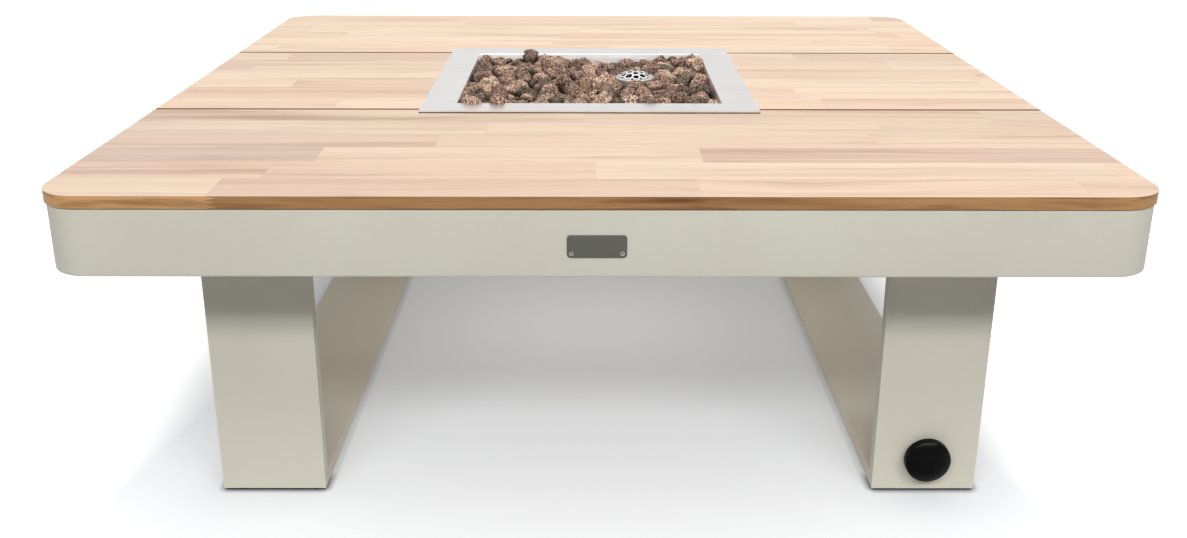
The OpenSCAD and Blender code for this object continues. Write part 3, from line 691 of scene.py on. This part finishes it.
satinSteel = metalFinish("satinSteel", (190, 188, 187), (222, 221, 220), 0.36, (0.02, 1, 1), 700)
# painted light: its walls are a little paler than its flange
traySteel = metalFinish("traySteel", (200, 197, 195), (243, 241, 239), 0.36, (0.02, 1, 1), 700,
                        wallBelow=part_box("burner_tray")[1].z - 0.001)
# soot and painted shade: its wall is dark below the cap
guardSteel = metalFinish("guardSteel", (236, 236, 236), (249, 249, 249), 0.34, metallic=0.3,
                         wallBelow=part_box("ignition_guard")[1].z - 0.005, wallTone=(0.34, 0.30, 0.28))
deckSteel = metalFinish("deckSteel", (96, 90, 84), (150, 143, 135), 0.5)
plateSteel = metalFinish("plateSteel", (62, 62, 58), (104, 103, 97), 0.42, (0.03, 1, 1), 1500)
sootSteel = metalFinish("sootSteel", (26, 25, 24), (52, 49, 47), 0.6)
rivetSteel = metalFinish("rivetSteel", (150, 149, 144), (196, 195, 189), 0.32)
zincSteel = metalFinish("zincSteel", (168, 170, 172), (206, 207, 206), 0.34)
pipeSteel = metalFinish("pipeSteel", (178, 178, 176), (212, 212, 208), 0.28)
brassBare = metalFinish("brassBare", (184, 148, 84), (216, 182, 112), 0.3)
copperProbe = metalFinish("copperProbe", (168, 98, 66), (204, 132, 94), 0.34)
railPaint = plasticFinish("railPaint", (62, 62, 60), (78, 78, 75), 0.55, 700)
rubberPad = plasticFinish("rubberPad", (28, 28, 28), (44, 43, 42), 0.8, 900)
ceramicWhite = plasticFinish("ceramicWhite", (222, 218, 208), (240, 238, 232), 0.3, 300)
knobBlack = plasticFinish("knobBlack", (3, 3, 4), (7, 6, 7), 0.2, 1600, 0.00001, Specular_IOR_Level=0.06)

# Bare plate on the apron's front
plate = {"radius": 0.003, "steps": 8, "edge": 0.0003}


def barePlate():
    low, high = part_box("nameplate")
    bm = bmesh.new()
    prism(bm, softRectangle(low.xz, high.xz, plate["radius"], plate["steps"]), -high.y, -low.y)
    eased(bm, plate["edge"], steps=2, pick=lambda e: all(v.co.z > -low.y - 1e-6 for v in e.verts))
    bmesh.ops.transform(bm, matrix=Matrix.Rotation(pi / 2, 4, "X"), verts=bm.verts)
    fit("barePlate", meshFrom(bm, "barePlate"), plateSteel, ["nameplate"])


barePlate()

# Burner tray: folded sheet with mitred corners
tray = {"flange": 0.041, "sheet": 0.0012, "lift": 0.003, "neck": 0.0121, "outerFold": 0.0009, "innerFold": 0.0016,
        "seal": 0.0013, "sealInset": 0.0003, "sealWidth": 0.007}


def burnerTray():
    low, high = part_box("burner_tray")
    middle = (low + high) / 2
    t, half = tray["sheet"], (high.x - low.x) / 2
    inside = half - tray["flange"]
    wood = high.z - tray["lift"]
    lip = wood + tray["seal"]

    def folded(rings):  # square loops of sheet, mitred at the corners
        bm = bmesh.new()
        loops = [[bm.verts.new((middle.x + sx * h, middle.y + sy * h, z)) for sx, sy, _ in corners] for h, z in rings]
        skin(bm, loops, closed=True)
        return bm

    bm = folded(((half, lip), (half, high.z), (inside, high.z), (inside, low.z + t),
                 (tray["neck"], low.z + t), (tray["neck"], low.z), (inside + t, low.z), (inside + t, high.z - t),
                 (half - t, high.z - t), (half - t, lip)))

    def on(edge, size, z):
        return all(abs(v.co.z - z) < hair and abs(max(abs(v.co.x - middle.x), abs(v.co.y)) - size) < hair
                   for v in edge.verts)

    eased(bm, tray["outerFold"], steps=3, pick=lambda e: corner(e) and on(e, half, high.z))
    eased(bm, tray["innerFold"], steps=3, pick=lambda e: corner(e) and on(e, inside, high.z))
    fit("burnerTray", meshFrom(bm, "burnerTray"), traySteel, ["burner_tray"])
    # a dark rubber strip under the flange's lip, standing in for the shadow in the gap there
    out = half - tray["sealInset"]
    seal = folded(((out, wood), (out, lip), (out - tray["sealWidth"], lip), (out - tray["sealWidth"], wood)))
    fit("flangeSeal", meshFrom(seal, "flangeSeal"), rubberPad)


burnerTray()
print("tray and plate set in")

# Ignition guard: a cup with a lace cap, its uneven holes cut by Geometry Nodes
guard = {
    "foot": 0.0036, "sheet": 0.0009, "rim": 0.0008, "crown": 0.0025, "dome": 0.0085, "count": 36, "seed": 4,
    "pitch": 0.0084, "jitter": 0.0024, "web": 0.77, "middle": (0.0003, -0.0002), "longEdge": 0.003,  # the lace
    "air": (0.009, 0.015), "airWeb": 0.0006, "airEvery": 3,  # openings low in the wall
    "bend": (0.0012, 0.002), "shoulder": ((0, 0.0014), (0.0002, 0.0006)),  # in or out, and up or down
}


def laceTree():
    b = Builder("laceCap", {"Web": "Float", "Material": "Material"})
    dual = b.node("GeometryNodeDualMesh", None, {0: b.given["Geometry"], 1: True})
    grown = b.node("GeometryNodeExtrudeMesh", {"mode": "FACES"}, {
        "Mesh": dual, "Offset Scale": 0.0, "Individual": True})
    top = b.others(grown)[1]
    shrunk = b.node("GeometryNodeScaleElements", {"domain": "FACE"}, {
        0: grown, "Selection": top, "Scale": b.given["Web"]})
    return b.close(b.node("GeometryNodeDeleteGeometry", {"domain": "FACE"}, {"Geometry": shrunk, "Selection": top}))


def ignitionGuard():
    low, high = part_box("ignition_guard")
    middle = (low + high) / 2
    r = (high.x - low.x) / 2 - guard["foot"]
    edge = r - guard["rim"]
    rng = random.Random(guard["seed"])
    spots = [Vector(guard["middle"])]
    ring = 1
    while ring * guard["pitch"] < edge - 0.6 * guard["pitch"]:
        for i in range(6 * ring):
            a = (i + 0.5 * (ring % 2)) * pi / (3 * ring)
            spots.append(Vector((cos(a), sin(a))) * ring * guard["pitch"]
                         + Vector((rng.uniform(-1, 1), rng.uniform(-1, 1))) * guard["jitter"])
        ring += 1
    spots += [Vector((cos(a), sin(a))) * edge for a in fullTurn(guard["count"])]
    cut = geometry.delaunay_2d_cdt(spots, [], [], 0, 1e-7)
    disc = bpy.data.meshes.new("laceBlank")
    disc.from_pydata([(p.x, p.y, 0) for p in cut[0]], [], [tuple(face) for face in cut[2]])
    lace = laceTree().make("lace", disc, {"Web": guard["web"], "Material": guardSteel})

    bm = bmesh.new()
    bm.from_mesh(lace)
    bmesh.ops.remove_doubles(bm, verts=bm.verts, dist=1e-6)
    bmesh.ops.subdivide_edges(bm, edges=[e for e in bm.edges if e.calc_length() > guard["longEdge"]], cuts=1)
    for vert in bm.verts:
        vert.co.z = -guard["dome"] * vert.co.xy.length_squared / (r * r)
    thicken(bm, lambda at: Vector((0, 0, -guard["sheet"])))
    bmesh.ops.translate(bm, verts=bm.verts, vec=(middle.x, middle.y, high.z + guard["crown"]))
    brim = high.z + guard["crown"] - guard["dome"] * (edge / r) ** 2

    cup = bmesh.new()
    floor, bend = low.z + guard["sheet"], guard["bend"]
    wall = [(r + guard["foot"], floor), (r + bend[0], floor), (r, low.z + bend[1])]
    wall += [(r, low.z + up) for up in guard["air"]]
    wall += [(r - into, brim - down) for into, down in guard["shoulder"]] + [(edge, brim)]
    skin(cup, [[cup.verts.new((out * cos(a), out * sin(a), z)) for a in fullTurn(guard["count"])]
               for out, z in wall])
    level = low.z + sum(guard["air"]) / 2
    air = [face for face in cup.faces if abs(face.calc_center_median().z - level) < 1e-4][::guard["airEvery"]]
    bmesh.ops.inset_individual(cup, faces=air, thickness=guard["airWeb"])
    bmesh.ops.delete(cup, geom=air, context="FACES_ONLY")

    def inwards(at):
        if at.z > brim - 0.0003 or at.xy.length > r + 0.0005:
            return Vector((0, 0, -guard["sheet"]))
        return Vector((-at.x, -at.y, 0)).normalized() * guard["sheet"]

    thicken(cup, inwards)
    bmesh.ops.translate(cup, verts=cup.verts, vec=(middle.x, middle.y, 0))
    cupMesh = meshFrom(cup, "guardCup")
    bm.from_mesh(cupMesh)
    bpy.data.meshes.remove(cupMesh)
    mesh = meshFrom(bm, "ignitionGuard")
    mesh.materials.append(guardSteel)
    mesh.materials.append(sootSteel)
    for face in mesh.polygons:  # soot on the inner side
        out = (face.center - middle).xy.normalized()
        if face.normal.z < -0.3 or face.normal.xy.dot(out) < -0.5:
            face.material_index = 1
    fit("ignitionGuard", mesh, guardSteel, ["ignition_guard"])


ignitionGuard()
print("guard cut")


# Lava rocks: settled by dropping each into the lowest of many places, then spread by Geometry Nodes
lava = {
    "seed": 11, "tries": 70, "kinds": 9, "fineKinds": 5, "coarseBelow": 0.0105,
    # how many are tried, least and greatest radius
    "large": (12, 0.0160, 0.0185), "bed": (330, 0.0082, 0.0158), "dressing": (70, 0.0056, 0.0082),
    "largestFirst": 50,  # of each sort, then the others in any order
    "rise": 0.004,  # highest rock above the flange
    # x, y, reach, height
    "heaps": ((-0.115, 0.115, 0.08, 0.010), (0.125, 0.125, 0.06, 0.005), (0.025, 0.159, 0.12, -0.0145)),
    "rim": ((-0.153, -0.1530, 0.3815, 0.0108), (-0.123, -0.1535, 0.3810, 0.0112)),  # x, y, z, radius
    "collar": (0.222, 7, 0.0166, 0.0184),  # first angle, how many stand round the guard, least and greatest radius
    "collarSlack": 0.15,  # how unevenly they stand
    "collarOut": 0.86, "sit": 0.8, "crest": 0.88, "guardGap": 0.85, "wallGap": 0.95,  # in radii
    "stretch": (0.78, 1.20), "flats": 9, "flatFar": (0.62, 0.95),  # shape of a rock
    "tones": ((0.0, (110, 98, 86)), (0.2, (130, 112, 98)), (0.45, (153, 125, 109)),
              (0.7, (178, 147, 128)), (0.9, (202, 172, 151)), (1.0, (196, 163, 135))),
    "tan": 0.028, "toneSpread": (0.46, 0.33), "toneTop": 0.9,  # share of tan rocks, and tones of the others
    "touch": 0.88, "gap": (1.0, 1.5),  # how close the rocks lie; how far from a neighbour's middle the painted shade between rocks fades
    "near": 2.2, "farOff": 9.0,  # where neighbours are looked for, and what stands for none
}


def lavaFinish():
    f = Finish("lavaStone")
    tone = f.node("ShaderNodeAttribute", {"attribute_name": "tone"}, None, out="Fac")
    lumps = f.noise(f.place, 130.0, 4.0, 0.6)
    grit = f.noise(f.place, 430.0, 5.0, 0.7)
    warped = f.node("ShaderNodeVectorMath", {"operation": "ADD"}, {
        0: f.place, 1: f.stretched(f.node("ShaderNodeTexNoise", None, {"Vector": f.place, "Scale": 420.0}, out=1),
                                   (0.002, 0.002, 0.002))})
    pits = 1 - f.step(f.cells(warped, 330.0), 0.12, 0.46)
    vents = 1 - f.step(f.cells(warped, 150.0), 0.10, 0.34)
    colour = f.ramp(tone + 0.05 * (lumps - 0.5), lava["tones"])
    colour = f.tinted(f.step(grit, 0.50, 0.64), colour, (2.35, 2.33, 2.33))
    colour = f.tinted(0.95 * (1 - f.step(grit, 0.36, 0.5)), colour, (0.29, 0.26, 0.25))
    # painted shade: points close to a neighbouring rock are darkened, as shade in the gaps
    room = f.node("ShaderNodeAttribute", {"attribute_name": "room"}, None, out="Fac")
    colour = f.tinted(0.95 * (1 - f.step(room, *lava["gap"])), colour, (0.10, 0.09, 0.085))
    # ash and painted top light: faces that point up are made paler
    ashAndPaintedTopLight = f.step(f.axes(f.node("ShaderNodeTexCoord", out="Normal"))[2], 0.35, 0.95)
    colour = f.tinted(0.5 * ashAndPaintedTopLight, colour, (1.32, 1.32, 1.33))
    colour = f.tinted(0.85 * pits, colour, (0.36, 0.31, 0.29))
    colour = f.tinted(0.7 * vents, colour, (0.40, 0.35, 0.33))
    height = grit * 0.6 + lumps * 0.5 - pits * 0.8 - vents * 1.2
    return f.shade(colour, 0.9 + 0.1 * (grit - 0.5), f.bump(height, 0.0016, 1.0), Specular_IOR_Level=0.2)


def rockShape(kind):  # an uneven lump about one unit in radius
    rng = random.Random(lava["seed"] * 100 + kind)
    bm = bmesh.new()
    bmesh.ops.create_icosphere(bm, subdivisions=4 if kind < lava["fineKinds"] else 3, radius=1)
    flats = []
    for _ in range(lava["flats"]):
        n = Vector((rng.uniform(-1, 1), rng.uniform(-1, 1), rng.uniform(-1, 1))).normalized()
        flats.append((n, rng.uniform(*lava["flatFar"])))
    shift = Vector((kind * 7.1, 3.3, kind * 2.7))
    for vert in bm.verts:
        d = vert.co.normalized()
        out = 1.15
        for n, far in flats:
            lean = d.dot(n)
            if lean > 0.05:
                out = min(out, far / lean + 0.02)
        out = 0.75 * out + 0.28
        out += 0.24 * noise.noise(d * 1.6 + shift) + 0.13 * noise.noise(d * 3.7 + shift)
        out += 0.07 * noise.noise(d * 8.0 + shift) - 0.14 * max(0.0, noise.noise(d * 5.5 - shift))
        vert.co = d * out
    return meshFrom(bm, "rock%d" % kind, sharp=180)


def settle():  # places and sizes of the rocks
    rng = random.Random(lava["seed"])
    low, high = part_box("burner_tray")
    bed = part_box("burner_deck")[1].z
    guardLow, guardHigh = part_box("ignition_guard")
    cap, keep = (guardLow + guardHigh) / 2, (guardHigh.x - guardLow.x) / 2 - guard["foot"]
    middle, inside = (low.x + high.x) / 2, (high.x - low.x) / 2 - tray["flange"]
    rocks = list(lava["rim"])

    def rest(x, y, size):  # how high a rock comes to lie there
        z = bed + lava["sit"] * size
        for otherX, otherY, otherZ, wide in rocks:
            touch = lava["touch"] * (size + wide)
            over = touch * touch - (x - otherX) ** 2 - (y - otherY) ** 2
            if over > 0:
                z = max(z, otherZ + sqrt(over))
        return z

    start, count, small, large = lava["collar"]
    slack = lava["collarSlack"]
    for i in range(count):  # tall rocks stand round the guard, so that only its cap shows
        size, angle = rng.uniform(small, large), start + 2 * pi * (i + rng.uniform(-slack, slack)) / count
        out = keep + lava["collarOut"] * size
        x, y = cap.x + out * cos(angle), cap.y + out * sin(angle)
        rocks.append((x, y, bed + lava["sit"] * size, size))

    for count, small, large in (lava["large"], lava["bed"], lava["dressing"]):
        sizes = sorted((rng.uniform(small, large) for _ in range(count)), reverse=True)
        later = sizes[lava["largestFirst"]:]
        for size in sizes[:lava["largestFirst"]] + rng.sample(later, len(later)):
            room = inside - lava["wallGap"] * size
            best = None
            for _ in range(lava["tries"]):
                x, y = middle + rng.uniform(-room, room), rng.uniform(-room, room)
                if hypot(x - cap.x, y - cap.y) < keep + lava["guardGap"] * size:
                    continue
                z = rest(x, y, size)
                if best is None or z < best[2]:
                    best = (x, y, z, size)
            if best is None:
                continue
            x, y, z, _ = best
            heap = sum(up * max(0.0, 1 - hypot(x - atX, y - atY) / wide) for atX, atY, wide, up in lava["heaps"])
            if z + lava["crest"] * size < high.z + lava["rise"] + heap:
                rocks.append(best)
    return rocks, rng


def markGaps(mesh, rocks):  # how far each point is from the nearest other rock, in that rock's sizes
    count = len(mesh.vertices)
    at, own, room = numpy.empty(count * 3), numpy.empty(count, int), numpy.full(count, lava["farOff"])
    mesh.vertices.foreach_get("co", at)
    mesh.attributes["own"].data.foreach_get("value", own)
    at, spots = at.reshape(-1, 3), numpy.array(rocks)
    for i, rock in enumerate(spots):
        mine = own == i
        far = numpy.linalg.norm(spots[:, :3] - rock[:3], axis=1)
        for j in numpy.nonzero((far < lava["near"] * (rock[3] + spots[:, 3])) & (far > 0))[0]:
            away = numpy.linalg.norm(at[mine] - spots[j, :3], axis=1) / spots[j, 3]
            room[mine] = numpy.minimum(room[mine], away)
    mesh.attributes.new("room", "FLOAT", "POINT").data.foreach_set("value", room)


def lavaRocks(name, rocks, rng, stone, first):
    turns, sizes, kinds, tones = [], [], [], []
    for *_, size in rocks:
        turns += [rng.uniform(0, 6.28) for _ in range(3)]
        sizes += [size * rng.uniform(*lava["stretch"]) for _ in range(3)]
        coarse = size < lava["coarseBelow"]
        kinds.append(rng.randrange(*((lava["fineKinds"], lava["kinds"]) if coarse else (0, lava["fineKinds"]))))
        isTan = rng.random() < lava["tan"]
        tones.append(1.0 if isTan else min(lava["toneTop"], max(0.0, rng.gauss(*lava["toneSpread"]))))
    points = spotMesh("rockSpots", [rock[:3] for rock in rocks], (
        ("turn", "FLOAT_VECTOR", turns), ("size", "FLOAT_VECTOR", sizes), ("kind", "INT", kinds),
        ("tone", "FLOAT", tones), ("own", "INT", range(first, first + len(rocks)))))

    b = Builder("rockPile", {"Kinds": "Collection", "Material": "Material"})
    kindsIn = b.node("GeometryNodeCollectionInfo", None, {
        "Collection": b.given["Kinds"], "Separate Children": True, "Reset Children": True})
    b.spread(kindsIn, {"Pick Instance": True, "Instance Index": b.read("kind", "INT"), "Scale": b.read("size")})

    shelf = bpy.data.collections.new("rockKinds")
    scene.collection.children.link(shelf)
    for kind in range(lava["kinds"]):
        shelf.objects.link(bpy.data.objects.new("rock%d" % kind, rockShape(kind)))
    mesh = b.make(name, points, {"Kinds": shelf, "Material": stone})
    for obj in list(shelf.objects):
        bpy.data.objects.remove(obj)
    bpy.data.collections.remove(shelf)
    return mesh


def lavaBed():  # one tree for each half, so that neither mesh is too heavy
    rocks, rng = settle()
    stone = lavaFinish()
    rocks.sort()
    cut = len(rocks) // 2
    for name, share, first in (("lavaRocksLeft", rocks[:cut], 0), ("lavaRocksRight", rocks[cut:], cut)):
        mesh = lavaRocks(name, share, rng, stone, first)
        markGaps(mesh, rocks)
        fit(name, mesh, stone, ["lava_rocks"])
        print(name, len(share), "rocks,", len(mesh.polygons), "faces")


lavaBed()

# Knob: upright side, small round edge and a glossy dome
knob = {
    "dome": 0.0085, "edge": 0.0012, "draft": 0.0003, "count": 96, "edgeSteps": 5, "domeSteps": 20,
    "hollow": 0.0005, "back": ((0.0045, 0.0005), (0.0022, 0), (0.0008, 0.0002), (0, 0.0012)),  # in from the side, up
}


def controlKnob():
    low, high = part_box("control_knob")
    middle, r, deep = (low + high) / 2, (high.x - low.x) / 2, high.y - low.y
    e = knob["edge"]
    rings = [(0, knob["hollow"])] + [(r - into, up) for into, up in knob["back"]]
    front = r - knob["draft"]
    ball = (front ** 2 + knob["dome"] ** 2) / (2 * knob["dome"])
    lean = asin((front - e) / (ball - e))  # where the round edge runs into the dome
    hub = deep - ball + (ball - e) * cos(lean)
    for i in range(knob["edgeSteps"] + 1):
        a = (pi / 2 - lean) * i / knob["edgeSteps"]
        rings.append((front - e + e * cos(a), hub + e * sin(a)))
    for i in range(1, knob["domeSteps"] + 1):
        a = lean * (1 - i / knob["domeSteps"])
        rings.append((ball * sin(a), deep - ball + ball * cos(a)))
    bm = bmesh.new()
    place = Matrix.Translation((middle.x, high.y, middle.z)) @ Matrix.Rotation(pi / 2, 4, "X")
    turned(bm, rings, place, knob["count"])
    mesh = meshFrom(bm, "controlKnob", sharp=40)
    fit("controlKnob", mesh, knobBlack, ["control_knob"], "knob_turn")


controlKnob()
print("knob turned")


# Fasteners and pads: one shape of each kind, set at the CAD's places by Geometry Nodes
def panScrew(head, deep, shank, length):  # cross recess, pan head, shank
    return [(0, 0.6 * deep), ((0.36 * head, 0.1 * head), 0.6 * deep, "cross"),
            ((0.46 * head, 0.13 * head), 0.06 * deep, "cross"), (0.6 * head, 0), (0.85 * head, 0.16 * deep),
            (0.97 * head, 0.45 * deep), (head, 0.8 * deep), (head, deep),
            (shank, deep), (shank, length - shank), (0, length)]


fasteners = {  # node: way the head faces, finish, rings from the head's face inwards
    "panel_screws": ((0, 0, -1), zincSteel, panScrew(0.004, 0.0025, 0.002, 0.0115)),
    "rail_screws": ((0, 0, -1), zincSteel, panScrew(0.004, 0.0025, 0.002, 0.0365)),
    "bracket_screws": ((0, 1, 0), zincSteel, panScrew(0.0045, 0.003, 0.0025, 0.008)),
    "guard_screws": ((0, 0, 1), zincSteel, panScrew(0.004, 0.0025, 0.002, 0.0057)),
    "leg_bolts": ((0, 0, -1), zincSteel, [
        (0, 0.0003), (0.0050, 0.0003), (0.0060, 0), (0.0064, 0.0006, "hex"), (0.0065, 0.0010, "hex"),
        (0.0065, 0.0053, "hex"), (0.004, 0.0053), (0.004, 0.0302), (0.0032, 0.0314), (0, 0.0314)]),
    "plate_rivets": ((0, -1, 0), rivetSteel, [
        (0, 0.0013), (0.0006, 0.0013), (0.0008, 0.0009), (0.0016, 0.0001), (0.0018, 0.0001),
        (0.0021, 0.0004), (0.00216, 0.0008), (0.0012, 0.0008), (0.0012, 0.0048), (0, 0.0048)]),
}
washer = {"bore": 0.0042, "radius": 0.008, "thick": 0.0016, "edge": 0.0002}
pad = {"radius": 0.008, "steps": 6, "edge": 0.0004}


def rowTree():
    b = Builder("fastenerRow", {"Shape": "Object", "Material": "Material"})
    return b.spread(b.node("GeometryNodeObjectInfo", None, {"Object": b.given["Shape"]}, out="Geometry"))


def fastenerRow(node, faces, finish, bm, seed=0):  # the shape's origin is the middle of its outer face
    name = camel(node)
    rng = random.Random(seed)
    out = Vector(faces)
    spots, turns = [], []
    for low, high in solidBoxes(node):
        spots.append((low + high) / 2 + Vector([c * h / 2 for c, h in zip(out, high - low)]))
        twist = Matrix.Rotation(rng.uniform(0, 1) if seed else 0, 4, "Z")
        turns += list(((-out).to_track_quat("Z", "Y").to_matrix().to_4x4() @ twist).to_euler())
    points = spotMesh(name + "Spots", spots, [("turn", "FLOAT_VECTOR", turns)])
    model = bpy.data.objects.new(name + "Shape", meshFrom(bm, name, sharp=30))
    scene.collection.objects.link(model)
    mesh = rowTree().make(name, points, {"Shape": model, "Material": finish})
    bpy.data.objects.remove(model)
    fit(name, mesh, finish, [node])


def fixings():
    for seed, (node, (faces, finish, layers)) in enumerate(fasteners.items(), 1):
        bm = bmesh.new()
        turned(bm, layers, count=24)
        fastenerRow(node, faces, finish, bm, seed if node != "leg_bolts" else 0)
    bore, out, thick, e = (washer[key] for key in ("bore", "radius", "thick", "edge"))
    bm = bmesh.new()
    turned(bm, [(bore, 0), (out - e, 0), (out, e), (out, thick - e), (out - e, thick), (bore, thick)],
           count=36, closed=True)
    fastenerRow("leg_washers", (0, 0, -1), zincSteel, bm)
    low, high = solidBoxes("foot_pads")[0]
    half = (high - low) / 2
    bm = bmesh.new()
    prism(bm, softRectangle(-half, half, pad["radius"], pad["steps"]), 0, high.z - low.z)
    eased(bm, pad["edge"], steps=2, pick=corner)
    fastenerRow("foot_pads", (0, 0, -1), rubberPad, bm)


fixings()
print("fasteners and pads set")

# Cross rails: rounded box tube
rail = {"wall": 0.002, "radius": 0.0035, "tighter": 0.8, "steps": 5}  # tighter: how the round shrinks inside


def boxRail(node):
    low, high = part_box(node)
    loops = []
    bm = bmesh.new()
    for x, wall in ((low.x, 0), (high.x, 0), (high.x, rail["wall"]), (low.x, rail["wall"])):
        thin = Vector((wall, wall))
        radius = rail["radius"] - rail["tighter"] * wall
        outline = softRectangle(low.yz + thin, high.yz - thin, radius, rail["steps"])
        loops.append([bm.verts.new((x, y, z)) for y, z in outline])
    skin(bm, loops, closed=True)
    fit(camel(node), meshFrom(bm, node, sharp=40), railPaint, [node])


for node in ("front_rail", "front_seam_rail", "rear_seam_rail", "rear_rail"):
    boxRail(node)

# Gas pipe and return spring: round bar swept along a path by Geometry Nodes
pipe = {"radius": 0.004, "bend": 0.03, "steps": 14, "sides": 20}
spring = {"wire": 0.00125, "turns": 4.5, "steps": 40, "sides": 10, "keep": 0.81}


def sweepTree():
    b = Builder("sweptBar", {
        "Bend": "Float", "Steps": "Int", "Radius": "Float", "Sides": "Int", "Material": "Material"})
    path = b.node("GeometryNodeMeshToCurve", None, {"Mesh": b.given["Geometry"]})
    bent = b.node("GeometryNodeFilletCurve", {"mode": "POLY"}, {
        "Curve": path, "Radius": b.given["Bend"], "Limit Radius": True, "Count": b.given["Steps"]})
    ring = b.node("GeometryNodeCurvePrimitiveCircle", None, {
        "Resolution": b.given["Sides"], "Radius": b.given["Radius"]})
    bar = b.node("GeometryNodeCurveToMesh", None, {"Curve": bent, "Profile Curve": ring, "Fill Caps": True})
    return b.close(b.node("GeometryNodeSetShadeSmooth", None, {"Geometry": bar}))


def swept(name, points, values, sharp=40):
    path = bpy.data.meshes.new(name + "Path")
    path.from_pydata(points, [(i, i + 1) for i in range(len(points) - 1)], [])
    mesh = sweepTree().make(name, path, values)
    mesh.set_sharp_from_angle(angle=radians(sharp))
    return mesh


def gasPipe():
    low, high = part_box("gas_pipe")
    r = pipe["radius"]
    x, y, z = high.x - r, low.y + r, high.z - r
    route = [(x, y, low.z), (x, y, z), (x, high.y - r, z), (low.x, high.y - r, z)]
    mesh = swept("gasPipe", route, {
        "Bend": pipe["bend"], "Steps": pipe["steps"], "Radius": r, "Sides": pipe["sides"], "Material": pipeSteel})
    fit("gasPipe", mesh, pipeSteel, ["gas_pipe"])


def returnSpring():
    low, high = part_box("return_spring")
    middle, wire = (low + high) / 2, spring["wire"]
    out, count = (high.x - low.x) / 2 - wire, int(spring["turns"] * spring["steps"])
    coil = []
    for i in range(count + 1):
        a = 2 * pi * i / spring["steps"]
        y = low.y + wire + (high.y - low.y - 2 * wire) * i / count
        coil.append((middle.x + out * cos(a), y, middle.z + out * sin(a)))
    mesh = swept("returnSpring", coil, {
        "Bend": 0.0, "Steps": 1, "Radius": wire, "Sides": spring["sides"], "Material": zincSteel})
    piece = fit("returnSpring", mesh, zincSteel, ["return_spring"])
    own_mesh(piece)


gasPipe()
returnSpring()
print("rails, pipe and spring made")


# CAD nodes that keep their shape take these finishes
keptFinishes = {
    "support_strips": rubberPad, "weld_nuts": zincSteel, "burner_deck": deckSteel, "pilot_bracket": deckSteel,
    "electrode_insulator": ceramicWhite, "electrode_pin": zincSteel, "thermocouple": copperProbe,
    "mixer_elbow": satinSteel, "mixer_nut": zincSteel, "gas_injector": brassBare, "pipe_nuts": brassBare,
    "pipe_clips": zincSteel, "valve_bracket": zincSteel, "valve_body": brassBare, "valve_bonnet": brassBare,
    "valve_spindle": zincSteel, "spring_collar": zincSteel, "inlet_nipple": brassBare,
}
for name, finish in keptFinishes.items():
    nodes[name].data.materials.clear()
    nodes[name].data.materials.append(finish)
print("finishes on")
